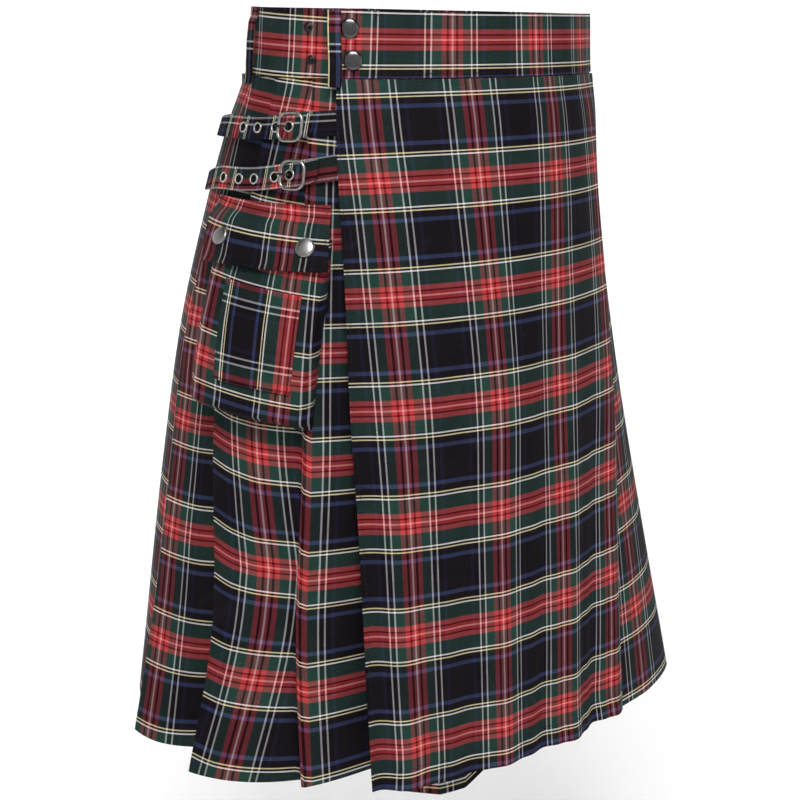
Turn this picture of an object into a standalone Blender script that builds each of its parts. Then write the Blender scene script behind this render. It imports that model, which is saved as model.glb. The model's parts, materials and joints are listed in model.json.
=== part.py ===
# Utility kilt in a red, green and black tartan, worn form, front towards -Y, wearer's right at -X.
# The origin is the middle of the waistband's top edge, where the wearer's waist holds the kilt up.
import bpy
import bmesh
import math
from mathutils import Vector

for old in list(bpy.data.objects):
    bpy.data.objects.remove(old, do_unlink=True)

# ---- sizes in metres ----
CLOTH = 0.0013            # skirt cloth wall
BAND_WALL = 0.0022        # waistband: cloth folded double over its stiffener
STRAP_WALL = 0.0018       # straps, loops and flap: cloth folded double
SEAM = 0.0003             # gap left between two sewn pieces
BAND_HIGH = 0.050
SKIRT_TOP = BAND_HIGH + 0.0008
APRON_HEM = 0.602
PLEAT_HEM = 0.596
LEFT_HEM = 0.613          # the left pleats are cut with the apron and hang lower
UNDER_HEM_LOW = 0.623     # the under apron's corner hangs a little below the front's hem
UNDER_HEM = 0.606
FOLD = 0.0010             # half the gap between the two layers of a pressed fold
ROUNDNESS = 0.969         # a little squarer than an ellipse

# Rings of the worn form, one row for each distance down the cloth from the band's top edge.
# seat is how far the back stands out behind the plain ring, hip how far the right hip does.
FORM = [
    # drop, half_side, half_depth, centre_x, centre_y, seat, hip
    (0.000, 0.1601, 0.0994, -0.0009, 0.0010, 0.000, 0.0020),
    (0.050, 0.1642, 0.1081, -0.0033, 0.0037, 0.000, -0.0010),
    (0.100, 0.1736, 0.1250, -0.0083, 0.0079, 0.006, -0.0035),
    (0.180, 0.1865, 0.1426, -0.0143, 0.0096, 0.018, -0.0010),
    (0.280, 0.2036, 0.1577, -0.0211, 0.0059, 0.030, 0.0015),
    (0.390, 0.2237, 0.1654, -0.0277, -0.0054, 0.042, -0.0050),
    (0.500, 0.2452, 0.1638, -0.0334, -0.0245, 0.056, -0.0050),
    (0.620, 0.2700, 0.1530, -0.0386, -0.0530, 0.072, 0.0050),
]
# How far the band's top edge rises round the wearer's right and back.
RISE = [
    # angle, rise
    (-180.0, 0.0040),
    (-97.0, 0.0046),
    (-70.0, 0.0034),
    (-50.0, 0.0024),
    (-30.0, 0.0012),
    (-10.0, 0.0005),
    (50.0, 0.0004),
    (97.0, 0.0012),
    (180.0, 0.0040),
]
# Edges of the front apron, as angles from the front; right edge is free, left edge is a fold.
APRON_EDGE = [
    # drop, right_angle, left_angle
    (0.050, -50.8, 49.4),
    (0.129, -46.3, 41.0),
    (0.222, -41.8, 38.7),
    (0.306, -39.0, 35.6),
    (0.396, -35.7, 31.0),
    (0.500, -32.8, 26.5),
    (0.602, -30.3, 23.5),
]
# Knife pleats, folded edges towards the back; the left side of the body mirrors the right.
PLEATS_RIGHT = [
    # fold angle at the band, at the pocket's foot, low down, at the hem; stand at the hem
    (-59.2, -49.5, -47.0, -43.3, 0.011),
    (-76.0, -77.0, -69.8, -70.4, 0.040),
    (-92.0, -100.5, -98.5, -97.5, 0.026),
    (-114.0, -118.5, -118.3, -118.0, 0.024),
    (-137.0, -138.0, -138.5, -139.0, 0.024),
    (-160.0, -160.5, -160.8, -161.0, 0.022),
]
PLEATS_LEFT = [
    (-160.0, -160.0, -159.5, -159.0, 0.022),
    (-137.0, -136.0, -135.0, -134.0, 0.024),
    (-114.0, -112.0, -111.0, -109.0, 0.024),
    (-91.0, -88.5, -86.3, -84.0, 0.026),
    (-69.0, -62.0, -57.0, -53.0, 0.026),
]
FOLD_DROPS = (0.050, 0.320, 0.480, 0.600)   # where the four angles of a pleat's row are taken
APRON_STAND = 0.026       # how far the apron's free edge stands over the pleats at the hem
FOLD_STAND = 0.013        # how far its fold does at the wearer's left
# Soft flutes of the apron: place across it (0 right edge, 1 left edge), half width, height at hem.
FLUTES = [
    # place, half_width, height_at_hem
    (0.03, 0.07, -0.0045),
    (0.13, 0.07, 0.0030),
    (0.34, 0.08, -0.0030),
    (0.47, 0.07, 0.0035),
    (0.62, 0.06, -0.0040),
    (0.74, 0.06, 0.0045),
    (0.86, 0.06, -0.0045),
    (0.97, 0.05, 0.0035),
]


# ---- the worn form ----
def between(rows, key, column):
    """A column of a table, read between its rows by the first column."""
    if key <= rows[0][0]:
        return rows[0][column]
    for low, high in zip(rows, rows[1:]):
        if key <= high[0]:
            share = (key - low[0]) / (high[0] - low[0])
            return low[column] + (high[column] - low[column]) * share
    return rows[-1][column]


def plan(drop, angle):
    """Where the form's ring passes at this angle, seen from above."""
    turn = math.radians(angle)
    side, front = math.sin(turn), math.cos(turn)
    across = math.copysign(abs(side) ** ROUNDNESS, side) * between(FORM, drop, 1)
    if side < 0:
        across -= between(FORM, drop, 6) * side ** 8
    along = math.copysign(abs(front) ** ROUNDNESS, front) * between(FORM, drop, 2)
    back = between(FORM, drop, 5) * front * front if front < 0 else 0.0
    return Vector((between(FORM, drop, 3) + across, between(FORM, drop, 4) - along + back))


def height(drop, angle):
    """How far below the origin a point hangs: the cloth's length less its lean."""
    low, at, last = 0.0, 0.0, plan(0.0, angle)
    stops = [row[0] for row in FORM if 0.0 < row[0] < drop] + [drop]
    for stop in stops:
        here = plan(stop, angle)
        run = (here - last).length
        low -= math.sqrt(max((stop - at) ** 2 - run * run, 1e-10))
        at, last = stop, here
    return low


def lifted(drop, angle):
    """How far a point of the band lies above its plain ring."""
    share = max(0.0, 1.0 - drop / BAND_HIGH)
    return between(RISE, (angle + 180.0) % 360.0 - 180.0, 1) * share


def on_form(drop, angle, out=0.0):
    """A point of the cloth: down the form, round it, and out from it."""
    here = plan(drop, angle)
    along = plan(drop, angle + 0.5) - plan(drop, angle - 0.5)
    outward = Vector((along.y, -along.x)).normalized()
    spot = here + outward * out
    return Vector((spot.x, spot.y, height(drop, angle) + lifted(drop, angle)))


# ---- solids ----
def material(name, colour, roughness, metallic=0.0):
    made = bpy.data.materials.get(name)
    if made is None:
        made = bpy.data.materials.new(name)
        made.use_nodes = True
        shader = made.node_tree.nodes["Principled BSDF"]
        shader.inputs["Base Color"].default_value = (*colour, 1.0)
        shader.inputs["Roughness"].default_value = roughness
        shader.inputs["Metallic"].default_value = metallic
    return made


def solid(name, points, faces, kind, smooth=False):
    mesh = bpy.data.meshes.new(name)
    mesh.from_pydata([tuple(p) for p in points], [], faces)
    shape = bmesh.new()
    shape.from_mesh(mesh)
    bmesh.ops.recalc_face_normals(shape, faces=shape.faces)
    bmesh.ops.triangulate(shape, faces=shape.faces)
    shape.to_mesh(mesh)
    shape.free()
    for face in mesh.polygons:
        face.use_smooth = smooth
    piece = bpy.data.objects.new(name, mesh)
    piece.data.materials.append(material(*kind))
    bpy.context.collection.objects.link(piece)
    return piece


def wall(name, grid, thick, kind, closed=False):
    """A cloth wall: a grid of mid-surface points given its thickness on both sides."""
    rows, cols = len(grid), len(grid[0])
    front, back = [], []
    for i in range(rows):
        for j in range(cols):
            if closed:
                left, right = grid[i][j - 1], grid[i][(j + 1) % cols]
            else:
                left, right = grid[i][max(j - 1, 0)], grid[i][min(j + 1, cols - 1)]
            up, down = grid[max(i - 1, 0)][j], grid[min(i + 1, rows - 1)][j]
            normal = (right - left).cross(down - up).normalized()
            front.append(grid[i][j] - normal * (thick / 2))
            back.append(grid[i][j] + normal * (thick / 2))
    count = rows * cols
    faces = []
    spans = cols if closed else cols - 1
    for i in range(rows - 1):
        for j in range(spans):
            k = (j + 1) % cols
            a, b, c, d = i * cols + j, i * cols + k, (i + 1) * cols + k, (i + 1) * cols + j
            faces.append((a, d, c, b))
            faces.append((count + a, count + b, count + c, count + d))
    for j in range(spans):
        k = (j + 1) % cols
        low = (rows - 1) * cols
        faces.append((j, k, count + k, count + j))
        faces.append((low + j, count + low + j, count + low + k, low + k))
    if not closed:
        for i in range(rows - 1):
            a, d = i * cols, (i + 1) * cols
            faces.append((a, count + a, count + d, d))
            a, d = i * cols + cols - 1, (i + 1) * cols + cols - 1
            faces.append((a, d, count + d, count + a))
    return solid(name, front + back, faces, kind)


def local_frame(drop, angle, out):
    """Origin, direction round the body, direction up the cloth and outward direction."""
    here = on_form(drop, angle, out)
    around = (on_form(drop, angle + 0.5, out) - on_form(drop, angle - 0.5, out)).normalized()
    upward = on_form(drop - 0.004, angle, out) - on_form(drop + 0.004, angle, out)
    outward = around.cross(upward).normalized()
    if outward.dot(Vector((here.x, here.y, 0.0))) < 0:
        outward.negate()
    return here, around, outward.cross(around).normalized(), outward


def frame_between(left, right, low, high, lift):
    """The same four for a spot in the middle of four points of a sloping piece, lifted off it."""
    around = (right - left).normalized()
    outward = around.cross(high - low).normalized()
    if outward.dot(Vector((left.x, left.y, 0.0))) < 0:
        outward.negate()
    here = (left + right + low + high) / 4 + outward * lift
    return here, around, outward.cross(around).normalized(), outward


def turned(name, profile, sides, frame, kind):
    """A round piece: (radius, out) pairs turned about the outward direction."""
    here, around, upward, outward = frame
    points, faces = [], []
    for radius, out in profile:
        if radius < 1e-6:
            points.append(here + outward * out)
            continue
        for k in range(sides):
            t = 2 * math.pi * k / sides
            points.append(here + outward * out + (around * math.cos(t) + upward * math.sin(t)) * radius)
    starts, at = [], 0
    for radius, out in profile:
        starts.append(at)
        at += 1 if radius < 1e-6 else sides
    for i in range(len(profile) - 1):
        for k in range(sides):
            m = (k + 1) % sides
            low = [starts[i]] if profile[i][0] < 1e-6 else [starts[i] + k, starts[i] + m]
            high = [starts[i + 1]] if profile[i + 1][0] < 1e-6 else [starts[i + 1] + m, starts[i + 1] + k]
            faces.append(tuple(low + high))
    return solid(name, points, faces, kind, smooth=True)


# ---- kinds of stuff ----
TARTAN = ("tartan_cloth", (0.16, 0.05, 0.05), 0.85)
TARTAN_STRAP = ("tartan_strap", (0.07, 0.05, 0.06), 0.85)
CAP_METAL = ("brushed_snap_metal", (0.42, 0.42, 0.43), 0.35, 1.0)
DARK_METAL = ("dark_metal", (0.16, 0.16, 0.17), 0.35, 1.0)


# ---- the skirt ----
ROWS = [SKIRT_TOP, 0.080, 0.125, 0.180, 0.250, 0.320, 0.400, 0.480, 0.550]


def opened(drop):
    """0 where the pleats are stitched flat below the band, 1 at the hem."""
    return max(0.0, min(1.0, (drop - 0.085) / (PLEAT_HEM - 0.085))) ** 1.25


def stand(at_hem, drop):
    pressed = 4 * FOLD + 0.0004
    return pressed + (at_hem - pressed) * opened(drop)


def fold_angle(row, drop):
    """A pleat's folded edge at this drop, read from its row."""
    stops = [(at, angle) for at, angle in zip(FOLD_DROPS, row)]
    return between(stops, drop, 1)


def pleat_line(drop):
    """One level of the pleated length as (angle, out), from under the apron's free edge,
    round the wearer's right, the back and the left, to under the apron's left fold."""
    down = (drop - BAND_HIGH) / (PLEAT_HEM - BAND_HIGH)
    right = [(fold_angle(row, drop), stand(row[4], drop)) for row in PLEATS_RIGHT]
    left = [(fold_angle(row, drop), stand(row[4], drop)) for row in reversed(PLEATS_LEFT)]
    line = []
    # the first face comes out from under the apron
    start = between(APRON_EDGE, drop, 1) + 7.0
    line += side_pleats(start, -stand(APRON_STAND, drop), right, down)
    finish = between(APRON_EDGE, drop, 2) - 7.0
    other = side_pleats(-finish, -stand(FOLD_STAND, drop), left, down)
    other = [(-a, o) for a, o in reversed(other)]
    # the inverted pleat between the two last folds at the centre back
    line += [(-180.0, line[-1][1])]
    return line + [(a - 360.0, o) for a, o in other]


def side_pleats(start, depth, folds, down):
    """Faces, folds and returns of the knife pleats of one side, going to the back."""
    line = [(start, depth), (start * 0.67 + folds[0][0] * 0.33, depth * 0.67)]
    line += [(start * 0.33 + folds[0][0] * 0.67, depth * 0.33)]
    face_from, face_depth = start, depth
    for n, (edge, tall) in enumerate(folds):
        wide = abs(edge - face_from)
        deep = wide * (0.46 - 0.06 * down)
        tip = 0.45 + 0.1 * down

        def face(angle, a0=face_from, d0=face_depth, e=edge):
            return d0 * (angle - e) / (a0 - e)

        inner = edge + deep
        half = 2 * FOLD + (tall * 0.62 - 2 * FOLD) * min(1.0, max(0.0, (tall - 0.005) / 0.02))
        line.append((edge, 0.0))
        line.append((edge - tip, -FOLD))
        line.append((edge, -2 * FOLD))
        line.append((edge + deep * 0.5, face(edge + deep * 0.5) - (FOLD + half * 0.5)))
        line.append((inner, face(inner) - half))
        line.append((inner + tip, face(inner) - half - FOLD))
        line.append((inner, face(inner) - half - 2 * FOLD))
        line.append((edge + deep * 0.5, (face(inner) - half - 2 * FOLD - tall) / 2 - FOLD * 0.3))
        line.append((edge, -tall))
        after = folds[n + 1][0] if n + 1 < len(folds) else -180.0
        if n + 1 < len(folds):
            line.append((edge * 0.67 + after * 0.33, -tall * 0.67))
            line.append((edge * 0.33 + after * 0.67, -tall * 0.33))
        face_from, face_depth = edge, -tall
    return line


def pleated_skirt():
    grid = []
    for drop in ROWS:
        grid.append([on_form(drop, a, o) for a, o in pleat_line(drop)])
    hem = []
    for angle, out in pleat_line(PLEAT_HEM):
        turn = max(0.0, min(1.0, (-angle - 150.0) / 60.0))
        hem.append(on_form(PLEAT_HEM + (LEFT_HEM - PLEAT_HEM) * turn, angle, out))
    grid.append(hem)
    return wall("pleated_skirt", grid, CLOTH, TARTAN)


def flute(place, drop):
    rise = max(0.0, (drop - 0.12) / (APRON_HEM - 0.12)) ** 1.4
    total = 0.0
    for centre, half, tall in FLUTES:
        near = (place - centre) / half
        if abs(near) < 1.0:
            total += tall * (0.5 + 0.5 * math.cos(math.pi * near))
    return total * rise


def apron_out(drop):
    return 0.0042 + 0.002 * min(1.0, max(0.0, (drop - 0.05) / 0.03))


def over_apron():
    grid = []
    spans = 26
    for drop in ROWS + [APRON_HEM]:
        right, left = between(APRON_EDGE, drop, 1), between(APRON_EDGE, drop, 2)
        line = []
        for k in range(spans + 1):
            place = k / spans
            line.append((right + (left - right) * place, apron_out(drop) + flute(place, drop)))
        # the left edge is a fold that turns in under the apron
        last = line[-1]
        line.append((last[0] + 0.5, last[1] - FOLD))
        line.append((last[0], last[1] - 2 * FOLD))
        tuck = 0.45 * opened(drop)
        line.append((last[0] - 4.0, last[1] - 2 * FOLD - 0.006 * tuck))
        line.append((last[0] - 9.0, last[1] - 2 * FOLD - 0.014 * tuck))
        grid.append([on_form(drop, a, o) for a, o in line])
    return wall("over_apron", grid, CLOTH, TARTAN)


def under_apron():
    grid = []
    for drop in ROWS + [UNDER_HEM]:
        right = between(APRON_EDGE, drop, 1) + 7.0
        left = between(APRON_EDGE, drop, 2) - 13.0
        start = -stand(APRON_STAND, drop)
        line = []
        for k in range(15):
            place = k / 14
            settle = min(1.0, place / 0.2)
            deep = start + (-stand(0.010, drop) - start) * settle - 0.0012
            low = 0.0
            if drop == UNDER_HEM:
                low = (UNDER_HEM_LOW - UNDER_HEM) * max(0.0, min(1.0, (0.55 - place) / 0.2))
            line.append(on_form(drop + low, right + 0.45 + (left - right) * place, deep))
        grid.append(line)
    return wall("under_apron", grid, CLOTH, TARTAN)


# ---- the waistband ----
def waistband():
    """One long strip: its outer end at the wearer's right, once round, then on underneath."""
    line = []
    for angle in range(-51, 40, 7):
        line.append((angle, 0.0016))
    for angle, out in ((45, 0.0012), (58, 0.0), (72, -0.0012)):
        line.append((angle, out))
    for angle in range(84, 305, 10):
        line.append((angle, -0.0015))
    for angle in range(309, 396, 9):
        line.append((angle, -0.0015))
    grid = []
    for drop in (0.0, BAND_HIGH / 2, BAND_HIGH):
        grid.append([on_form(drop, a, o) for a, o in line])
    return wall("waistband", grid, BAND_WALL, TARTAN)


def belt_loop(name, top_angle, foot_angle, out, foot):
    """A narrow strip sewn down at both ends and standing off the band between them."""
    half = 0.0051
    profile = [
        # drop, out above the band's face
        (0.0005, 0.0000),
        (0.0060, 0.0004),
        (0.0100, 0.0026),
        (0.0250, 0.0036),
        (0.0400, 0.0030),
        (0.0490, foot + 0.0006),
        (0.0565, foot),
    ]
    grid = []
    for drop, off in profile:
        angle = top_angle + (foot_angle - top_angle) * drop / 0.0565
        here, around, upward, outward = local_frame(drop, angle, out + off)
        grid.append([here - around * half, here, here + around * half])
    return wall(name, grid, 0.0018, TARTAN_STRAP)


pleated_skirt()
over_apron()
under_apron()
waistband()
LOOPS = [
    # name, angles at the top and the foot, out at the band, further out at the foot
    ("belt_loop_front_right", -52.7, -50.8, 0.0043, 0.0034),
    ("belt_loop_right", -92.6, -93.4, 0.0012, 0.0012),
    ("belt_loop_back_right", -150.0, -150.0, 0.0012, 0.0012),
    ("belt_loop_back_left", 150.0, 150.0, 0.0012, 0.0012),
    ("belt_loop_left", 93.0, 93.0, 0.0012, 0.0012),
]
for name, top_angle, foot_angle, out, foot in LOOPS:
    belt_loop(name, top_angle, foot_angle, out, foot)


# ---- the cargo pocket on the wearer's right ----
def pleat_face_out(drop, angle):
    """How far out the pleat faces of the wearer's right lie, at any angle."""
    start, depth = between(APRON_EDGE, drop, 1) + 7.0, -stand(APRON_STAND, drop)
    for row in PLEATS_RIGHT:
        edge = fold_angle(row, drop)
        if angle >= edge:
            return depth * (angle - edge) / (start - edge)
        start, depth = edge, -stand(row[4], drop)
    return depth


POCKET = [
    # drop, left_angle, front_left_angle, front_right_angle, right_angle, front_out, slant
    (0.176, -88.0, -83.0, -47.6, -47.0, 0.0080, 0.0),
    (0.206, -88.0, -81.0, -47.6, -46.8, 0.0150, 0.0),
    (0.240, -88.0, -79.5, -48.2, -47.2, 0.0190, 0.0),
    (0.280, -88.0, -78.5, -49.4, -47.6, 0.0215, 0.001),
    (0.308, -87.5, -78.0, -50.4, -47.8, 0.0220, 0.004),
]
POCKET_FOOT = 0.0105      # the bottom gusset, from the front's lower edge back to the skirt


def pocket_row(row, share, extra):
    """One level of the pocket: left gusset, front, right gusset; share is how far it stands out."""
    drop, far_left, left, right, far_right, out, slant = row
    lift = CLOTH + SEAM + 0.0004

    def lowered(place):
        return drop + extra + slant * (2 * place - 1)

    inner = pleat_face_out(drop + extra, (far_left + left) / 2) + lift
    line = [on_form(lowered(0.0), far_left, pleat_face_out(drop + extra, far_left) + lift)]
    middle = inner + (out * 0.55 - inner) * share
    line.append(on_form(lowered(0.0), (far_left + left) / 2, middle))
    for k in range(7):
        angle = left + (right - left) * k / 6
        inner = max(pleat_face_out(drop + extra, angle + step) for step in range(-3, 4)) + lift + 0.0006
        line.append(on_form(lowered(k / 6), angle, inner + (out - inner) * share))
    line.append(on_form(lowered(1.0), far_right, pleat_face_out(drop + extra, far_right) + lift))
    return line


def pocket():
    grid = [pocket_row(row, 1.0, 0.0) for row in POCKET]
    grid.append(pocket_row(POCKET[-1], 0.45, 0.006))
    grid.append(pocket_row(POCKET[-1], 0.0, POCKET_FOOT))
    return wall("cargo_pocket", grid, CLOTH, TARTAN)


def pocket_front(drop):
    return between(POCKET, drop, 5)


PATCH = [
    # share down, left_drop, right_drop, left_angle, right_angle
    (0.0, 0.2085, 0.2163, -74.4, -52.0),
    (1.0, 0.2848, 0.2898, -71.7, -52.1),
]


def on_patch(down, across):
    """A point of the panel on the pocket's front, which hangs a little askew."""
    left_drop, right_drop, left, right = (between(PATCH, down, k) for k in (1, 2, 3, 4))
    drop = left_drop + (right_drop - left_drop) * across
    out = pocket_front(drop) + CLOTH + SEAM + 0.0005
    return on_form(drop, left + (right - left) * across, out)


def pocket_patch():
    grid = [[on_patch(k / 4, m / 5) for m in range(6)] for k in range(5)]
    return wall("pocket_patch", grid, CLOTH, TARTAN)


FLAP = [
    # drop, left_angle, right_angle, out
    (0.1490, -93.5, -47.8, 0.0022),
    (0.1585, -93.5, -47.6, 0.0026),
    (0.1650, -92.5, -47.4, 0.0080),
    (0.1790, -89.5, -46.9, 0.0130),
    (0.1975, -84.5, -46.2, 0.0190),
]


def on_flap(drop, place):
    left, right = between(FLAP, drop, 1), between(FLAP, drop, 2)
    return on_form(drop, left + (right - left) * place, between(FLAP, drop, 3))


def pocket_flap():
    grid = []
    for row in FLAP:
        grid.append([on_flap(row[0], k / 9) for k in range(10)])
    return wall("pocket_flap", grid, STRAP_WALL, TARTAN)


# ---- straps and buckles ----
STRAP_HALF = 0.0095
STRAPS = [
    # name, buckle_angle, buckle_drop, tongue_drop_at_back, tab_drop_at_apron
    ("upper", -63.6, 0.0880, 0.0915, 0.0845),
    ("lower", -60.2, 0.1255, 0.1330, 0.1185),
]
TONGUE = [
    # degrees back from the buckle, out, share of the way to the back, half width share
    (-7.6, 0.0058, -0.55, 0.60),
    (-6.9, 0.0055, -0.50, 0.92),
    (-5.0, 0.0042, -0.34, 1.0),
    (-2.5, 0.0045, -0.12, 0.97),
    (-1.2, 0.0058, -0.06, 1.0),
    (1.4, 0.0058, 0.07, 1.0),
    (2.5, 0.0045, 0.12, 0.97),
    (5.5, 0.0041, 0.30, 1.0),
    (10.0, 0.0036, 0.55, 1.0),
    (17.0, 0.0036, 0.85, 1.0),
    (24.0, 0.0050, 1.0, 1.0),
    (31.0, 0.0075, 1.10, 1.0),
    (36.0, 0.0086, 1.45, 0.94),
    (41.0, 0.0080, 1.95, 0.84),
    (46.0, 0.0056, 2.35, 0.76),
    (51.0, 0.0030, 2.60, 0.72),
    (54.0, 0.0026, 2.70, 0.70),
]


def on_tongue(centre, drop, back_drop, turn, side):
    """A point of the long strap; side is -1 at its upper edge and 1 at its lower."""
    middle = drop + (back_drop - drop) * between(TONGUE, turn, 2)
    half = STRAP_HALF * between(TONGUE, turn, 3)
    return on_form(middle + half * side, centre - turn, between(TONGUE, turn, 1))


def tongue(name, centre, drop, back_drop):
    grid = []
    for row in TONGUE:
        grid.append([on_tongue(centre, drop, back_drop, row[0], side) for side in (-1, 0, 1)])
    return wall("strap_tongue_" + name, grid, STRAP_WALL, TARTAN_STRAP)


def tab(name, centre, drop, apron_drop, edge):
    """The buckle's own short strap, from under the apron's edge to the buckle's bar."""
    grid = []
    for k in range(6):
        share = k / 5
        angle = edge + (centre + 1.5 - edge) * share
        middle = apron_drop + (drop - 0.001 - apron_drop) * share
        row = []
        for side in (-1, 0, 1):
            row.append(on_form(middle + (STRAP_HALF + 0.0006) * side, angle, 0.0020))
        grid.append(row)
    return wall("buckle_tab_" + name, grid, 0.0016, TARTAN_STRAP)


def rod(name, path, radius, sides, kind, closed=False, taper=1.0, out=None):
    """A wire of round section along a path; out is the direction it keeps level with."""
    points, faces = [], []
    count = len(path)
    for i, here in enumerate(path):
        before = path[i - 1] if closed or i else path[0]
        after = path[(i + 1) % count] if closed or i < count - 1 else path[-1]
        run = (after - before).normalized()
        flat = run.cross(out).normalized()
        over = flat.cross(run).normalized()
        thick = radius * (1.0 + (taper - 1.0) * i / max(count - 1, 1))
        for k in range(sides):
            t = 2 * math.pi * k / sides
            points.append(here + (flat * math.cos(t) + over * math.sin(t)) * thick)
    for i in range(count if closed else count - 1):
        n = (i + 1) % count
        for k in range(sides):
            m = (k + 1) % sides
            faces.append((i * sides + k, i * sides + m, n * sides + m, n * sides + k))
    if not closed:
        faces.append(tuple(range(sides)))
        faces.append(tuple(range((count - 1) * sides, count * sides)))
    return solid(name, points, faces, kind, smooth=True)


BUCKLE_HALF_WIDE = 0.0100
BUCKLE_HALF_HIGH = 0.0111
BUCKLE_WIRE = 0.0013
# The prong comes out of an eyelet, over its rim and on to the frame's back bar.
PRONG = [
    # distance towards the back from the eyelet's middle, out from the frame's plane
    (-0.0006, 0.0013),
    (0.0010, 0.0015),
    (0.0020, 0.0020),
    (0.0031, 0.0024),
    (0.0060, 0.0026),
    (0.0102, 0.0024),
]


def buckle(name, centre, drop, shift):
    here, around, upward, outward = local_frame(drop, centre, 0.0080)
    path = []
    corner = 0.0068
    spots = []
    for sx, sy in ((1, 1), (-1, 1), (-1, -1), (1, -1)):
        spots.append((sx, sy))
    for sx, sy in spots:
        cx, cy = sx * (BUCKLE_HALF_WIDE - corner), sy * (BUCKLE_HALF_HIGH - corner)
        base = math.atan2(sy, sx) - math.pi / 4
        for k in range(5):
            t = base + math.pi / 2 * k / 4
            u, v = cx + corner * math.cos(t), cy + corner * math.sin(t)
            path.append(here + around * u + upward * v - outward * (u * u * 2.5))
    rod("buckle_frame_" + name, path, BUCKLE_WIRE, 8, DARK_METAL, closed=True, out=outward)
    low, a, u, o = local_frame(drop, centre, 0.0037)
    bar = [low + u * v for v in (-0.0112, 0.0, 0.0112)]
    rod("buckle_bar_" + name, bar, 0.0008, 8, DARK_METAL, out=o)
    prong = [here - around * (across + shift) + outward * off for across, off in PRONG]
    rod("buckle_prong_" + name, prong, 0.0010, 8, DARK_METAL, taper=0.8, out=outward)


CAP = [
    # radius, out
    (0.0, 0.0),
    (0.0067, 0.0),
    (0.0077, 0.0007),
    (0.0075, 0.0017),
    (0.0062, 0.0027),
    (0.0035, 0.0033),
    (0.0, 0.0035),
]
STUD = [
    (0.0, 0.0),
    (0.0034, 0.0),
    (0.0035, 0.0006),
    (0.0028, 0.0011),
    (0.0018, 0.0012),
    (0.0017, 0.0028),
    (0.0010, 0.0034),
    (0.0, 0.0035),
]


def eyelet(name, frame, outer=0.0046, inner=0.0027):
    here, around, upward, outward = frame
    path = []
    for k in range(16):
        t = 2 * math.pi * k / 16
        r = (outer + inner) / 2
        path.append(here + (around * math.cos(t) + upward * math.sin(t)) * r)
    points, faces = [], []
    half = (outer - inner) / 2
    for k, spot in enumerate(path):
        away = (spot - here).normalized()
        points += [spot - away * half, spot + away * half]
        points += [spot + away * half * 0.5 + outward * 0.0008, spot - away * half * 0.5 + outward * 0.0008]
    for k in range(16):
        n = (k + 1) % 16
        for m in range(4):
            w = (m + 1) % 4
            faces.append((k * 4 + m, k * 4 + w, n * 4 + w, n * 4 + m))
    return solid(name, points, faces, CAP_METAL, smooth=True)


pocket()
pocket_patch()
pocket_flap()
EYELETS = {
    # degrees back from the buckle; the first holds the prong
    "upper": [0.6, 6.3, 15.0, 22.5],
    "lower": [1.0, 6.6, 15.2, 22.0, 29.5],
}
for name, centre, drop, back_drop, apron_drop in STRAPS:
    tongue(name, centre, drop, back_drop)
    edge = between(APRON_EDGE, apron_drop, 1) + 2.5
    tab(name, centre, drop, apron_drop, edge)
    buckle(name, centre, drop, EYELETS[name][0] * 0.0025)
for name, centre, drop, back_drop, apron_drop in STRAPS:
    for n, turn in enumerate(EYELETS[name]):
        half = 0.6 if n == 0 else 1.6
        spots = [on_tongue(centre, drop, back_drop, turn + step, 0.0) for step in (half, -half)]
        spots += [on_tongue(centre, drop, back_drop, turn, side) for side in (0.4, -0.4)]
        frame = frame_between(*spots, STRAP_WALL / 2 + SEAM)
        eyelet("eyelet_%s_%d" % (name, n + 1), frame)

BAND_SNAPS = [
    # name, angle, drop, out, kind, profile
    ("snap_cap_band_top", -47.3, 0.0135, 0.0030, CAP_METAL, CAP),
    ("snap_cap_band_low", -45.8, 0.0368, 0.0030, CAP_METAL, CAP),
    ("snap_stud_top", -62.6, 0.0132, -0.0001, DARK_METAL, STUD),
    ("snap_stud_low", -60.9, 0.0368, -0.0001, DARK_METAL, STUD),
]
for name, angle, drop, out, kind, profile in BAND_SNAPS:
    turned(name, profile, 20, local_frame(drop, angle, out), kind)

FLAP_SNAPS = [
    # name, place across the flap, drop
    ("snap_cap_flap_back", 0.20, 0.1785),
    ("snap_cap_flap_front", 0.86, 0.1810),
]
for name, place, drop in FLAP_SNAPS:
    spots = [on_flap(drop, place - 0.05), on_flap(drop, place + 0.05)]
    spots += [on_flap(drop + 0.005, place), on_flap(drop - 0.005, place)]
    turned(name, CAP, 20, frame_between(*spots, STRAP_WALL / 2 + SEAM + 0.0002), CAP_METAL)
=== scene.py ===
import functools
import json
import math
import bpy
from mathutils import Matrix, Vector, noise

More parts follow.
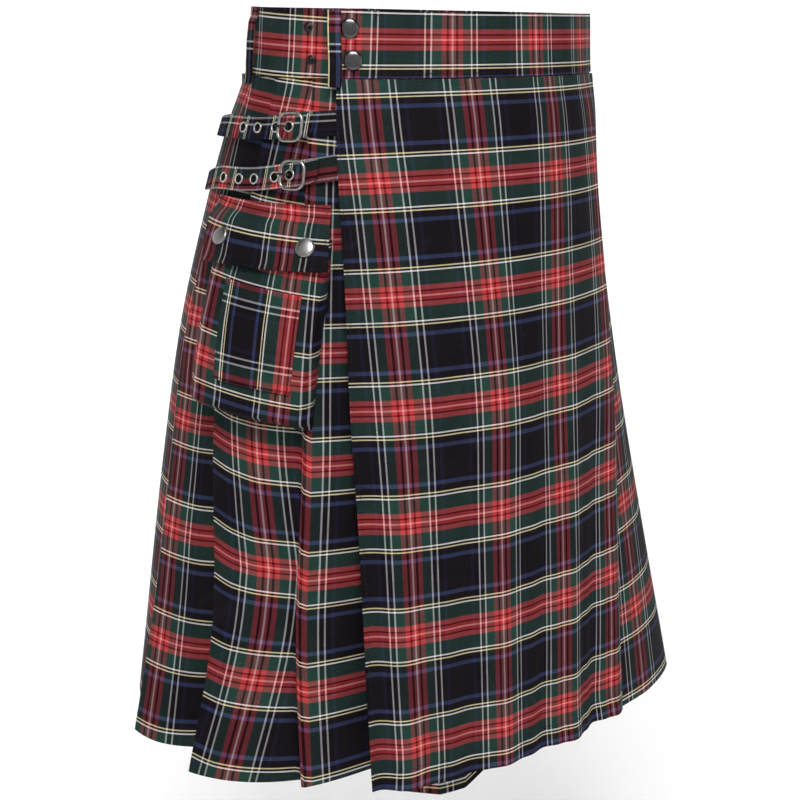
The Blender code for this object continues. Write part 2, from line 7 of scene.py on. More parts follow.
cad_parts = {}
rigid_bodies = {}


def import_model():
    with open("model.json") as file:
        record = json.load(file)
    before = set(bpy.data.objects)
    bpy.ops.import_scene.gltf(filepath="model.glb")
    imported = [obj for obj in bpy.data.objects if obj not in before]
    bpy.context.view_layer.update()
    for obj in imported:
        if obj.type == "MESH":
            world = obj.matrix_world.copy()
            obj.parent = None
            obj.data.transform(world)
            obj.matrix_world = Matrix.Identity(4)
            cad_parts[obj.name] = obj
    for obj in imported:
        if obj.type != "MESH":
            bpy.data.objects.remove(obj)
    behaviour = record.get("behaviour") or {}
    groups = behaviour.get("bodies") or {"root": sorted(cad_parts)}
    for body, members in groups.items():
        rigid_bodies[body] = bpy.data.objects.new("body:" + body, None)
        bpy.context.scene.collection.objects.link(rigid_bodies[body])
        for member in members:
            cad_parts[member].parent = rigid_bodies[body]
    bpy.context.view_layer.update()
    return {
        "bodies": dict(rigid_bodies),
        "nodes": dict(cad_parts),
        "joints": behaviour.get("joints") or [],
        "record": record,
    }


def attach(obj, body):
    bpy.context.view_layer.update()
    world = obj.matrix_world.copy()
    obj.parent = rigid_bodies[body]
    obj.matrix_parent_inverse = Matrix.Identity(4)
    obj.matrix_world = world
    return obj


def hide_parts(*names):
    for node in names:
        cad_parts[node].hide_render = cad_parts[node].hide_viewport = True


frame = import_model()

# Sizes are in metres. Front towards -Y, the wearer's right at -X, +Z up. Places on the cloth are
# given as a drop down from the band's top edge and an angle round the body from the front.
CLOTH = 0.0013
BAND_WALL = 0.0022
STRAP_WALL = 0.0018
LOOP_WALL = 0.0018
TAB_WALL = 0.0016
SEAM = 0.0003
BAND_HIGH = 0.050
TOP_OUT = 0.0022          # how far the pleats' top edge is brought out under the band
SKIRT_TOP = BAND_HIGH + 0.0008
APRON_HEM = 0.602
PLEAT_HEM = 0.596
LEFT_HEM = 0.613
UNDER_HEM = 0.606
UNDER_HEM_LOW = 0.623
FOLD = 0.0010             # half the depth of a pressed fold
PRESSED = 0.085           # drop down to which the pleats are pressed flat
TUCKED = 7.0              # degrees that the pleated length goes in behind the apron's edges
UNDER_SHORT = 13.0        # degrees that the under apron stops short of the over apron's left edge
APRON_OUT = 0.0042
APRON_FULL = 0.002        # how much further out the apron lies just below the band
ROUNDNESS = 0.969
WARP = 0.085              # one repeat of the tartan across the cloth
WEFT = 0.0872             # and down it

# ---- the worn form and the cut, as tables ----
FORM = [
    # drop, half_side, half_depth, centre_x, centre_y, seat, hip
    (0.000, 0.1601, 0.0994, -0.0009, 0.0010, 0.000, 0.0020),
    (0.050, 0.1642, 0.1081, -0.0033, 0.0037, 0.000, -0.0010),
    (0.100, 0.1736, 0.1250, -0.0083, 0.0079, 0.006, -0.0035),
    (0.180, 0.1865, 0.1426, -0.0143, 0.0096, 0.018, -0.0010),
    (0.280, 0.2036, 0.1577, -0.0211, 0.0059, 0.030, 0.0015),
    (0.390, 0.2237, 0.1654, -0.0277, -0.0054, 0.042, -0.0050),
    (0.500, 0.2452, 0.1638, -0.0334, -0.0245, 0.056, -0.0050),
    (0.620, 0.2700, 0.1530, -0.0386, -0.0530, 0.072, 0.0050),
]
RISE = [
    # angle, how far the band's top edge rises
    (-180.0, 0.0040), (-97.0, 0.0046), (-70.0, 0.0034), (-50.0, 0.0024), (-30.0, 0.0012),
    (-10.0, 0.0005), (50.0, 0.0004), (97.0, 0.0012), (180.0, 0.0040),
]
APRON_EDGE = [
    # drop, right_angle, left_angle
    (0.050, -50.8, 49.4),
    (0.129, -46.3, 41.0),
    (0.222, -41.8, 38.7),
    (0.306, -39.0, 35.6),
    (0.396, -35.7, 31.0),
    (0.500, -32.8, 26.5),
    (0.602, -30.3, 23.5),
]
FOLD_DROPS = (0.050, 0.320, 0.480, 0.600)
PLEATS_RIGHT = [
    # folded edge's angle at the four drops; stand at the hem
    (-59.2, -49.5, -47.0, -43.3, 0.011),
    (-76.0, -77.0, -69.8, -70.4, 0.040),
    (-92.0, -100.5, -98.5, -97.5, 0.026),
    (-114.0, -118.5, -118.3, -118.0, 0.024),
    (-137.0, -138.0, -138.5, -139.0, 0.024),
    (-160.0, -160.5, -160.8, -161.0, 0.022),
]
PLEATS_LEFT = [
    (-160.0, -160.0, -159.5, -159.0, 0.022),
    (-137.0, -136.0, -135.0, -134.0, 0.024),
    (-114.0, -112.0, -111.0, -109.0, 0.024),
    (-91.0, -88.5, -86.3, -84.0, 0.026),
    (-69.0, -62.0, -57.0, -53.0, 0.026),
]
APRON_STAND = 0.026
FOLD_STAND = 0.013
UNDER_STAND = 0.010
FLUTES = [
    # place across the apron, half_width, height_at_hem
    (0.03, 0.07, -0.0045),
    (0.13, 0.07, 0.0030),
    (0.34, 0.08, -0.0030),
    (0.47, 0.07, 0.0035),
    (0.62, 0.06, -0.0040),
    (0.74, 0.06, 0.0045),
    (0.86, 0.06, -0.0045),
    (0.97, 0.05, 0.0035),
]

# ---- where the tartan lies: a repeat's red centre is a whole number ----
APRON_SETT = [
    # drop, angles of the red centres 1, 2, 3 and 4
    (0.050, -40.5, -10.4, 17.3, 38.6),
    (0.146, -33.9, -7.7, 15.7, 38.0),
    (0.216, -30.4, -6.0, 13.6, 35.8),
    (0.310, -26.7, -4.6, 11.4, 31.6),
    (0.405, -24.3, -5.2, 9.7, 25.9),
    (0.580, -21.3, -5.4, 6.8, 19.7),
]
APRON_RED = 0.1330        # drop of a red centre
PLEAT_RED = 0.0877
PLEAT_SHIFT = [
    # drop, how far the pleats' pattern is drawn up where they are taken in at the band
    (0.050, 0.0151), (0.080, 0.0151), (0.145, 0.0070), (0.300, 0.0010), (0.600, 0.0000),
]
PLEAT_TILT = [
    # drop, fall of the lines in metres for each degree towards the apron
    (0.050, 0.00022), (0.140, 0.00022), (0.300, 0.0),
]
PLEATS_DRAWN = [
    # drop, then repeats drawn down: behind the third fold, at it, halfway to the second fold,
    # at the second fold, a fifth, a half and nearly all the way to the first, past the first
    (0.10, 0.0, 0.0, 0.0, 0.0, 0.0, 0.0, 0.0, 0.0),
    (0.20, 0.0, 0.03, 0.04, 0.05, 0.03, 0.02, 0.0, -0.04),
    (0.33, 0.0, 0.073, 0.09, 0.13, 0.07, 0.036, 0.015, -0.045),
    (0.40, 0.0, 0.07, 0.09, 0.14, 0.08, 0.02, 0.0, -0.05),
    (0.445, 0.0, 0.05, 0.07, 0.13, 0.08, 0.045, 0.015, -0.045),
    (0.50, 0.0, 0.04, 0.055, 0.09, 0.06, 0.045, 0.03, -0.02),
    (0.60, 0.0, 0.03, 0.05, 0.08, 0.05, 0.04, 0.03, -0.01),
]
APRON_DRAWN_ACROSS = [
    # drop, then repeats drawn across at 0, 1/4, 1/2, 3/4 and all of the panel's width
    (0.05, 0.027, 0.006, -0.010, -0.016, -0.012),
    (0.12, 0.025, 0.006, 0.000, -0.002, -0.003),
    (0.20, 0.024, 0.005, 0.007, 0.005, -0.005),
    (0.30, 0.024, 0.007, 0.008, -0.011, -0.028),
    (0.40, 0.036, 0.009, 0.001, -0.027, -0.055),
    (0.50, 0.040, 0.016, -0.001, -0.041, -0.078),
    (0.60, 0.034, 0.015, -0.009, -0.050, -0.094),
]
APRON_DRAWN_DOWN = [
    (0.05, 0.032, 0.046, 0.054, 0.060, 0.070),
    (0.12, 0.008, 0.033, 0.044, 0.055, 0.071),
    (0.20, -0.006, 0.016, 0.034, 0.054, 0.070),
    (0.30, -0.003, 0.004, 0.018, 0.041, 0.059),
    (0.40, 0.002, -0.004, 0.004, 0.024, 0.045),
    (0.50, -0.006, 0.002, -0.009, 0.010, 0.033),
    (0.60, -0.019, 0.010, -0.012, 0.001, 0.021),
]
EDGE_SETT = [
    # drop, repeats from a red centre to the folded edge: first, second, third and further pleats
    (0.050, 0.045, -0.396, -0.730, -0.400),
    (0.150, 0.025, -0.386, -0.850, -0.360),
    (0.250, 0.037, -0.441, -1.100, -0.340),
    (0.320, 0.048, -0.476, -1.175, -0.330),
    (0.434, 0.040, -0.560, -1.140, -0.314),
    (0.600, 0.040, -0.350, -1.200, -0.284),
]
BAND_RED = [
    # degrees along the strip, drop of its red centre
    (60.0, 0.0210), (200.0, 0.0270), (262.0, 0.0252), (309.0, 0.0286),
]
BAND_SETT = [
    # degrees along the strip, repeats
    (-51.0, 0.868), (-46.8, 1.0), (-15.1, 2.0), (13.3, 3.0), (38.6, 4.0), (262.5, 10.0),
    (299.0, 11.0), (335.0, 12.0), (400.0, 14.0),
]


def clamp(value, low=0.0, high=1.0):
    return max(low, min(high, value))


def spread(low, high, count):
    return [low + (high - low) * k / (count - 1) for k in range(count)]


def between(rows, key, column):
    """A column of a table, read straight between its rows."""
    if key <= rows[0][0]:
        return rows[0][column]
    for low, high in zip(rows, rows[1:]):
        if key <= high[0]:
            share = (key - low[0]) / (high[0] - low[0])
            return low[column] + (high[column] - low[column]) * share
    return rows[-1][column]


def smooth(rows, key, column):
    """The same, read on a smooth curve through the rows."""
    if not rows[0][0] < key < rows[-1][0]:
        return between(rows, key, column)
    n = next(k for k in range(len(rows) - 1) if key <= rows[k + 1][0])
    low, high = rows[n], rows[n + 1]
    first, last = rows[max(n - 1, 0)], rows[min(n + 2, len(rows) - 1)]
    span = high[0] - low[0]
    leave = (high[column] - first[column]) / (high[0] - first[0]) * span
    meet = (last[column] - low[column]) / (last[0] - low[0]) * span
    t = (key - low[0]) / span
    return (low[column] * (2 * t ** 3 - 3 * t * t + 1) + leave * (t ** 3 - 2 * t * t + t)
            + high[column] * (3 * t * t - 2 * t ** 3) + meet * (t ** 3 - t * t))


@functools.cache
def ring(drop):
    return [smooth(FORM, drop, column) for column in range(1, 7)]


def plan(drop, angle):
    half_side, half_depth, centre_x, centre_y, seat, hip = ring(drop)
    turn = math.radians(angle)
    side, front = math.sin(turn), math.cos(turn)
    across = math.copysign(abs(side) ** ROUNDNESS, side) * half_side
    if side < 0:
        across -= hip * side ** 8
    along = math.copysign(abs(front) ** ROUNDNESS, front) * half_depth
    back = seat * front * front if front < 0 else 0.0
    return Vector((centre_x + across, centre_y - along + back))


STEP = 0.01
STEPS = 66


@functools.cache
def heights(angle):
    """Heights of the cloth at every centimetre of drop, for one whole angle."""
    low, last = [0.0], plan(0.0, angle)
    for n in range(1, STEPS + 1):
        here = plan(n * STEP, angle)
        run = (here - last).length
        low.append(low[-1] - math.sqrt(max(STEP * STEP - run * run, 1e-10)))
        last = here
    return low


def height(drop, angle):
    whole = math.floor(angle / 2.0) * 2
    n = min(int(drop / STEP), STEPS - 1)
    part = drop / STEP - n
    sides = (heights(whole % 360), heights((whole + 2) % 360))
    a, b = (low[n] + (low[n + 1] - low[n]) * part for low in sides)
    return a + (b - a) * (angle - whole) / 2.0


def lifted(drop, angle):
    return between(RISE, (angle + 180.0) % 360.0 - 180.0, 1) * max(0.0, 1.0 - drop / BAND_HIGH)


def rumple(drop, angle):
    """Soft unevenness of the hanging cloth, the same for all that lies on it."""
    turn = math.radians(angle)
    free = clamp((drop - 0.06) / 0.5)
    spot = Vector((math.cos(turn) * 2.1, math.sin(turn) * 2.1, drop * 2.2))
    small = Vector((math.cos(turn) * 6.0, math.sin(turn) * 6.0, drop * 5.0 + 7.0))
    return noise.noise(spot) * 0.0030 * free + noise.noise(small) * 0.0010 * (0.3 + free)


def on_form(drop, angle, out=0.0):
    """A point of the cloth: out is its distance from the worn form."""
    drop = max(drop, 0.0)
    along = plan(drop, angle + 0.5) - plan(drop, angle - 0.5)
    outward = Vector((along.y, -along.x)).normalized()
    spot = plan(drop, angle) + outward * (out + rumple(drop, angle))
    return Vector((spot.x, spot.y, height(drop, angle) + lifted(drop, angle)))


def arc(drop, start, end):
    """Length round the form between two angles, negative when end is behind start."""
    spots = [plan(drop, angle) for angle in spread(start, end, 7)]
    return math.copysign(sum((b - a).length for a, b in zip(spots, spots[1:])), end - start)


# ---- building ----
MATERIALS = {}


def shaped(name, points, faces, look):
    mesh = bpy.data.meshes.new(name)
    mesh.from_pydata([tuple(p) for p in points], [], faces)
    for face in mesh.polygons:
        face.use_smooth = True
    mesh.materials.append(MATERIALS[look])
    made = bpy.data.objects.new(name, mesh)
    bpy.context.collection.objects.link(made)
    return made


def piece(name, node, points, faces, look, sharp, sett=None):
    """A mesh that rides with the kilt. node is the CAD piece that it stands for, sett the
    tartan's place for every point."""
    made = shaped(name, points, faces, look)
    if sett is not None:
        layer = made.data.uv_layers.new(name="sett")
        for loop in made.data.loops:
            layer.data[loop.index].uv = sett[loop.vertex_index]
    made.data.set_sharp_from_angle(angle=math.radians(sharp))
    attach(made, "root")
    if node is not None:
        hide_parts(node)
    return made


def laid(rows, cols, place):
    """Rows of (point, (across, down)), as a function of the row and the column."""
    return [[place(row, col) for col in cols] for row in rows]


def wall(name, node, grid, thick, look="tartan_cloth"):
    """Cloth with two faces and hems, from rows of (point, (across, down)) on its middle."""
    rows, cols = len(grid), len(grid[0])
    front, back, sett = [], [], []
    for i in range(rows):
        for j in range(cols):
            left, right = grid[i][max(j - 1, 0)][0], grid[i][min(j + 1, cols - 1)][0]
            up, down = grid[max(i - 1, 0)][j][0], grid[min(i + 1, rows - 1)][j][0]
            half = (right - left).cross(down - up).normalized() * (thick / 2)
            front.append(grid[i][j][0] - half)
            back.append(grid[i][j][0] + half)
            sett.append(grid[i][j][1])
    count = rows * cols
    faces = []
    for i in range(rows - 1):
        for j in range(cols - 1):
            a = i * cols + j
            faces.append((a, a + cols, a + cols + 1, a + 1))
            faces.append((count + a, count + a + 1, count + a + cols + 1, count + a + cols))
    low = (rows - 1) * cols
    edges = [(j, j + 1) for j in range(cols - 1)] + [(low + j + 1, low + j) for j in range(cols - 1)]
    edges += [((i + 1) * cols, i * cols) for i in range(rows - 1)]
    edges += [((i + 1) * cols - 1, (i + 2) * cols - 1) for i in range(rows - 1)]
    faces += [(a, b, count + b, count + a) for a, b in edges]
    return piece(name, node, front + back, faces, look, 40.0, sett + sett)


def circle(sides):
    """Cosine and sine of even turns."""
    turns = (2 * math.pi * k / sides for k in range(sides))
    return [(math.cos(t), math.sin(t)) for t in turns]


def skin(rings, closed=False):
    """Points and faces of rings joined one to the next; a ring of one point is a pole."""
    sides = max(len(ring) for ring in rings)
    starts = [sum(len(ring) for ring in rings[:n]) for n in range(len(rings))]
    faces = []
    for i in range(len(rings) if closed else len(rings) - 1):
        n = (i + 1) % len(rings)
        for k in range(sides):
            m = (k + 1) % sides
            low = (starts[i] + k, starts[i] + m) if len(rings[i]) > 1 else (starts[i],)
            high = (starts[n] + m, starts[n] + k) if len(rings[n]) > 1 else (starts[n],)
            faces.append(low + high)
    return [point for ring in rings for point in ring], faces


def revolved(profile, frame, sides, closed=False):
    """(radius, out) pairs turned about the outward direction."""
    here, around, upward, outward = frame
    return skin([[here + outward * out + (around * cos + upward * sin) * radius
                  for cos, sin in circle(sides if radius else 1)] for radius, out in profile], closed)


def axes(here, around, upward):
    """A spot with its directions round the body, up the cloth and outward."""
    outward = around.cross(upward).normalized()
    if outward.dot(Vector((here.x, here.y, 0.0))) < 0:
        outward.negate()
    return here, around, outward.cross(around).normalized(), outward


def local_frame(drop, angle, out):
    """The axes at a place on the form."""
    around = (on_form(drop, angle + 0.5, out) - on_form(drop, angle - 0.5, out)).normalized()
    upward = on_form(drop - 0.004, angle, out) - on_form(drop + 0.004, angle, out)
    return axes(on_form(drop, angle, out), around, upward)


def frame_between(left, right, low, high, lift):
    """The axes amid four points of a face, lifted off it."""
    here, around, upward, outward = axes(
        (left + right + low + high) / 4, (right - left).normalized(), high - low)
    return here + outward * lift, around, upward, outward


# ---- procedural looks ----
def colour(r, g, b):
    """Linear colour of a display one."""
    return tuple((c / 255) ** 2.2 for c in (r, g, b)) + (1.0,)


class Tree:
    """A small hand for wiring nodes."""

    def __init__(self, tree):
        self.tree = tree

    def node(self, kind, settings=(), **inputs):
        """A node; an input is named by its title, or by its number as in i0."""
        made = self.tree.nodes.new(kind)
        for key, value in settings:
            setattr(made, key, value)
        for key, value in inputs.items():
            slot = made.inputs[int(key[1:])] if key[0] == "i" and key[1:].isdigit() else made.inputs[key]
            self.put(slot, value)
        return made

    def put(self, slot, value):
        if isinstance(value, bpy.types.NodeSocket):
            self.tree.links.new(value, slot)
        else:
            slot.default_value = value

    def math(self, operation, a, b=0.0, c=0.0):
        return self.node("ShaderNodeMath", [("operation", operation)], i0=a, i1=b, i2=c).outputs[0]

    def times(self, a, b):
        return self.math("MULTIPLY", a, b)

    def line(self, value, slope, start):
        """start + value * slope."""
        return self.math("MULTIPLY_ADD", value, slope, start)

    def mix(self, share, a, b):
        return self.node("ShaderNodeMix", [("data_type", "RGBA")], i0=share, i6=a, i7=b).outputs[2]

    def spot(self):
        return self.node("ShaderNodeTexCoord").outputs["Object"]

    def noise(self, place, scale, detail):
        return self.node("ShaderNodeTexNoise", Vector=place, Scale=scale, Detail=detail).outputs[0]


def group(name, inputs, outputs):
    made = bpy.data.node_groups.new(name, "ShaderNodeTree")
    for title, kind, value in inputs:
        slot = made.interface.new_socket(title, in_out="INPUT", socket_type="NodeSocket" + kind)
        if value is not None:
            slot.default_value = value
    for title, kind in outputs:
        made.interface.new_socket(title, in_out="OUTPUT", socket_type="NodeSocket" + kind)
    tree = Tree(made)
    return made, tree, tree.node("NodeGroupInput").outputs, tree.node("NodeGroupOutput").inputs


# The dyed threads: display colour, and how thick a thread is over the others.
THREADS = {
    "black": (33, 29, 33, 0.0),
    "scarlet": (208, 84, 84, 0.0),
    "crimson": (210, 63, 66, 0.0),
    "garnet": (108, 16, 20, 0.1),
    "wine": (60, 6, 9, 0.1),
    "rose": (202, 74, 79, 0.0),
    "green": (46, 73, 66, 0.0),
    "blue": (66, 77, 117, 0.0),
    "navy": (40, 41, 66, 0.0),
    "blush": (255, 152, 148, 0.4),
    "shell": (255, 208, 208, 0.55),
    "white": (255, 252, 246, 0.62),
    "cream": (255, 241, 186, 0.64),
    "grey": (255, 255, 255, 0.52),
}
# Half of the repeat, from the red centre out: (share of a repeat, thread).
WEFT_STRIPES = [
    (0.0000, "blush"), (0.0060, "crimson"), (0.0370, "garnet"), (0.0490, "scarlet"), (0.0920, "green"),
    (0.2055, "black"), (0.2145, "white"), (0.2270, "black"), (0.2450, "cream"), (0.2570, "black"),
    (0.3150, "blue"), (0.3520, "black"),
]
WARP_STRIPES = [
    (0.0000, "shell"), (0.0095, "rose"), (0.0370, "wine"), (0.0600, "rose"), (0.1080, "green"),
    (0.1920, "black"), (0.1980, "grey"), (0.2150, "black"), (0.2600, "grey"), (0.2770, "black"),
    (0.3270, "navy"), (0.3620, "black"),
]


def stripes(tree, place, rows):
    """Colour and thickness of one set of threads at a place given in repeats."""
    near = tree.math("PINGPONG", place, 0.5)
    made = tree.node("ShaderNodeValToRGB", i0=tree.times(near, 2.0))
    ramp = made.color_ramp
    ramp.interpolation = "CONSTANT"
    while len(ramp.elements) < len(rows):
        ramp.elements.new(1.0)
    for element, (at, thread) in zip(ramp.elements, rows):
        element.position = at * 2
        element.color = colour(*THREADS[thread][:3])[:3] + THREADS[thread][3:]
    return made.outputs[0], made.outputs[1]


def tartan_group():
    made, tree, into, out = group("tartan", [
        ("Place", "Vector", None),
        ("Weft Share", "Float", 0.60),
        ("Thread", "Float", 0.00046),
        ("Fading", "Float", 0.12),
    ], [("Colour", "Color"), ("Relief", "Float"), ("Nap", "Float")])
    parts = tree.node("ShaderNodeSeparateXYZ", i0=into["Place"])
    across, down = parts.outputs[0], parts.outputs[1]
    warp, warp_thick = stripes(tree, across, WARP_STRIPES)
    weft, weft_thick = stripes(tree, down, WEFT_STRIPES)
    # the 2/2 twill: counted threads, with the weft on top along steep diagonal ribs
    ends = tree.math("DIVIDE", tree.times(across, WARP), into["Thread"])
    picks = tree.math("DIVIDE", tree.times(down, WEFT), into["Thread"])
    step = tree.times(tree.math("ADD", ends, picks), 0.25)
    rib = tree.math("SINE", tree.times(step, 2 * math.pi))
    share = tree.line(rib, 0.07, into["Weft Share"])
    share = tree.line(weft_thick, 0.30, share)
    share = tree.line(warp_thick, -0.18, share)
    # thread colours lie side by side; they are mixed on a curve that makes the mix darker than their average:
    # painted shade of the twill between the threads
    lifted_up = [tree.node("ShaderNodeGamma", i0=threads, i1=0.5).outputs[0] for threads in (warp, weft)]
    joined = tree.node("ShaderNodeGamma", i0=tree.mix(share, *lifted_up), i1=2.0).outputs[0]
    # slubs along single threads, and a broad unevenness of the dye
    long_ends = tree.node("ShaderNodeCombineXYZ", i0=ends, i1=tree.times(picks, 0.03))
    long_picks = tree.node("ShaderNodeCombineXYZ", i0=tree.times(ends, 0.03), i1=picks)
    slubs = [tree.noise(long_way.outputs[0], 0.9, 1.0) for long_way in (long_ends, long_picks)]
    dye = tree.noise(into["Place"], 3.0, 4.0)
    both = tree.math("ADD", *slubs)
    level = tree.line(tree.math("SUBTRACT", both, 1.0), 0.45, 1.0)
    broad = tree.line(tree.math("SUBTRACT", dye, 0.5), 0.5, 1.0)
    scaled = tree.node("ShaderNodeHueSaturation", Color=joined, Value=tree.times(level, broad))
    worn = tree.times(tree.math("GREATER_THAN", dye, 0.62), into["Fading"])
    tree.put(out["Colour"], tree.mix(worn, scaled.outputs[0], colour(120, 116, 116)))
    tree.put(out["Relief"], tree.line(both, 0.5, rib))
    tree.put(out["Nap"], dye)
    return made


def brushed_group():
    made, tree, into, out = group("brushed", [
        ("Colour", "Color", (0.5, 0.5, 0.5, 1.0)),
        ("Scale", "Float", 900.0),
        ("Smooth", "Float", 0.22),
    ], [("Colour", "Color"), ("Roughness", "Float"), ("Relief", "Float")])
    spot = tree.spot()
    fine = tree.noise(spot, into["Scale"], 3.0)
    stains = tree.times(tree.math("SUBTRACT", tree.noise(spot, 160.0, 5.0), 0.45), 1.6)
    dark = tree.mix(0.45, into["Colour"], (0.05, 0.045, 0.04, 1.0))
    tree.put(out["Colour"], tree.mix(stains, into["Colour"], dark))
    tree.put(out["Roughness"], tree.line(fine, 0.20, into["Smooth"]))
    tree.put(out["Relief"], fine)
    return made


TARTAN = tartan_group()
BRUSHED = brushed_group()


def material(name):
    made = bpy.data.materials.new(name)
    made.use_nodes = True
    MATERIALS[name] = made
    return Tree(made.node_tree), made.node_tree.nodes["Principled BSDF"]


def raise_up(tree, shader, relief, strength, distance):
    bump = tree.node("ShaderNodeBump", Strength=strength, Distance=distance, Height=relief)
    tree.put(shader.inputs["Normal"], bump.outputs[0])


def cloth_material(name, fading, rough):
    tree, shader = material(name)
    place = tree.node("ShaderNodeUVMap", [("uv_map", "sett")]).outputs[0]
    woven = tree.node("ShaderNodeGroup", [("node_tree", TARTAN)], Place=place, Fading=fading).outputs
    tree.put(shader.inputs["Base Color"], woven["Colour"])
    tree.put(shader.inputs["Roughness"], tree.line(woven["Nap"], 0.2, rough))
    shader.inputs["Specular IOR Level"].default_value = 0.05
    raise_up(tree, shader, woven["Relief"], 0.35, 0.0002)


def metal_material(name, tint, scale, rough):
    tree, shader = material(name)
    worked = tree.node("ShaderNodeGroup", [("node_tree", BRUSHED)],
                       Colour=tint + (1.0,), Scale=scale, Smooth=rough).outputs
    shader.inputs["Metallic"].default_value = 1.0
    tree.put(shader.inputs["Base Color"], worked["Colour"])
    tree.put(shader.inputs["Roughness"], worked["Roughness"])
    raise_up(tree, shader, worked["Relief"], 0.15, 0.00005)


def thread_material(name, dark, pale):
    tree, shader = material(name)
    twist = tree.noise(tree.spot(), 2200.0, 2.0)
    tree.put(shader.inputs["Base Color"], tree.mix(twist, colour(*dark), colour(*pale)))
    shader.inputs["Roughness"].default_value = 0.7
    shader.inputs["Specular IOR Level"].default_value = 0.2
    raise_up(tree, shader, twist, 0.4, 0.0001)


cloth_material("tartan_cloth", 0.015, 0.50)
cloth_material("tartan_strap", 0.10, 0.60)
metal_material("brushed_snap_metal", (0.45, 0.44, 0.43), 900.0, 0.22)
metal_material("gunmetal", (0.17, 0.165, 0.17), 700.0, 0.10)
metal_material("eyelet_metal", (0.74, 0.72, 0.69), 1200.0, 0.16)
metal_material("buckle_metal", (0.50, 0.47, 0.46), 1200.0, 0.16)
metal_material("dark_metal", (0.06, 0.055, 0.055), 1200.0, 0.22)
thread_material("sewing_thread", (20, 20, 23), (58, 56, 62))
# near-black: painted shade for the holes inside the eyelets
thread_material("hole_dark", (3, 3, 4), (9, 8, 9))


# ---- the pleated length ----
def apron_edges(drop):
    """Angles of the over apron's free edge and of its edge on the wearer's left."""
    return smooth(APRON_EDGE, drop, 1), smooth(APRON_EDGE, drop, 2)


def opened(drop):
    """How far the pleats have opened at this drop, from 0 to 1 at the hem."""
    return clamp((drop - PRESSED) / (PLEAT_HEM - PRESSED)) ** 1.25


def stand(at_hem, drop):
    """How far a pleat stands in from the form: pressed flat at the band, open at the hem."""
    pressed = 4 * FOLD + 0.0004
    return pressed + (at_hem - pressed) * opened(drop)


def fold_angle(row, drop):
    return smooth([(at, angle) for at, angle in zip(FOLD_DROPS, row)], drop, 1)


def down_pleats(drop, angle):
    """Repeats down the pleats; their lines fall towards the apron where they are taken in."""
    tilt = between(PLEAT_TILT, drop, 1) * (clamp(angle, -100.0, -48.0) + 74.0)
    first, second, third = (fold_angle(row, drop) for row in PLEATS_RIGHT[:3])
    wide = first - second
    spots = (third - 40.0, third, (third + second) / 2, second, second + wide * 0.2,
             second + wide * 0.5, first - 0.5, first + 0.5)
    stops = [(spot, between(PLEATS_DRAWN, drop, k + 1)) for k, spot in enumerate(spots)]
    even = (drop + between(PLEAT_SHIFT, drop, 1) - PLEAT_RED - tilt) / WEFT
    return even + between(stops, angle, 1)


def drawn(table, drop, place):
    """How far the cloth is drawn from its even place, in repeats."""
    row = [(0.25 * k, between(table, drop, k + 1)) for k in range(5)]
    return between(row, clamp(place), 1)


FOLD_EDGE = [
    # a fold's rounded edge: share of its reach, depth in FOLDs, repeats of cloth taken up
    (0.0, 0.0, 0.0), (0.8, 0.42, 0.012), (1.0, 1.0, 0.018), (0.8, 1.58, 0.024), (0.0, 2.0, 0.036),
]


def folded_edge(angle, out, across, reach):
    return [(angle + reach * tip, out - FOLD * deep, across - taken) for tip, deep, taken in FOLD_EDGE]


def side_pleats(start, depth, folds, drop, first):
    """Faces, folds and returns of the knife pleats of one side, going to the back, as
    (angle, out, repeats across). first tells whether the tables' first pleats lie here."""
    down = (drop - BAND_HIGH) / (PLEAT_HEM - BAND_HIGH)
    reach = 0.45 + 0.1 * down
    line = []
    for n, (edge, tall) in enumerate(folds):
        at_edge, goes_on = (between(EDGE_SETT, drop, min(k, 3) + 1 if first else 4) for k in (n, n + 1))
        after = folds[n + 1][0] if n + 1 < len(folds) else -180.0
        deep = abs(edge - start) * (0.46 - 0.06 * down)
        inner = edge + deep

        def face(angle):
            return depth * (angle - edge) / (start - edge)

        # the face, a little full, out to the folded edge
        belly = 0.10 * (tall - 0.0044) * opened(drop)
        for k in range(13):
            t = k / 13
            angle = start + (edge - start) * t
            line.append((angle, face(angle) + belly * math.sin(math.pi * t ** 1.5),
                         at_edge + arc(drop, edge, angle) / WARP))
        line += folded_edge(edge, 0.0, at_edge, -reach)
        # the return behind the face, and the fold inside
        half = 2 * FOLD + (tall * 0.62 - 2 * FOLD) * clamp((tall - 0.005) / 0.02)
        back = at_edge - arc(drop, edge, inner) / WARP
        for k in range(1, 4):
            t = k / 4
            angle = edge + deep * t
            line.append((angle, face(angle) - (2 * FOLD + (half - 2 * FOLD) * t),
                         at_edge + (back - at_edge) * t))
        line += folded_edge(inner, face(inner) - half, back, reach)
        # the second layer, back to where the next face begins
        bottom = face(inner) - half - 2 * FOLD
        start_next = goes_on + arc(drop, after, edge) / WARP
        for k in range(1, 4):
            t = k / 4
            sag = FOLD * 0.3 * math.sin(math.pi * t)
            line.append((inner - deep * t, bottom + (-tall - bottom) * t - sag,
                         back + (start_next - back) * t))
        line.append((edge, -tall, start_next))
        start, depth = edge, -tall
    for k in range(1, 9):
        angle = edge + (after - edge) * k / 9
        line.append((angle, depth, goes_on + arc(drop, after, angle) / WARP))
    return line


def pleat_line(drop):
    right, left = ([(fold_angle(row, drop), stand(row[4], drop)) for row in rows]
                   for rows in (PLEATS_RIGHT, reversed(PLEATS_LEFT)))
    start, finish = apron_edges(drop)
    line = side_pleats(start + TUCKED, -stand(APRON_STAND, drop), right, drop, True)
    other = side_pleats(TUCKED - finish, -stand(FOLD_STAND, drop), left, drop, False)
    meet = between(EDGE_SETT, drop, 4)
    line.append((-180.0, line[-1][1], meet))
    return line + [(-a - 360.0, o, 2 * meet - u) for a, o, u in reversed(other)]


ROWS = spread(SKIRT_TOP, PRESSED, 5) + spread(0.095, 0.584, 44)


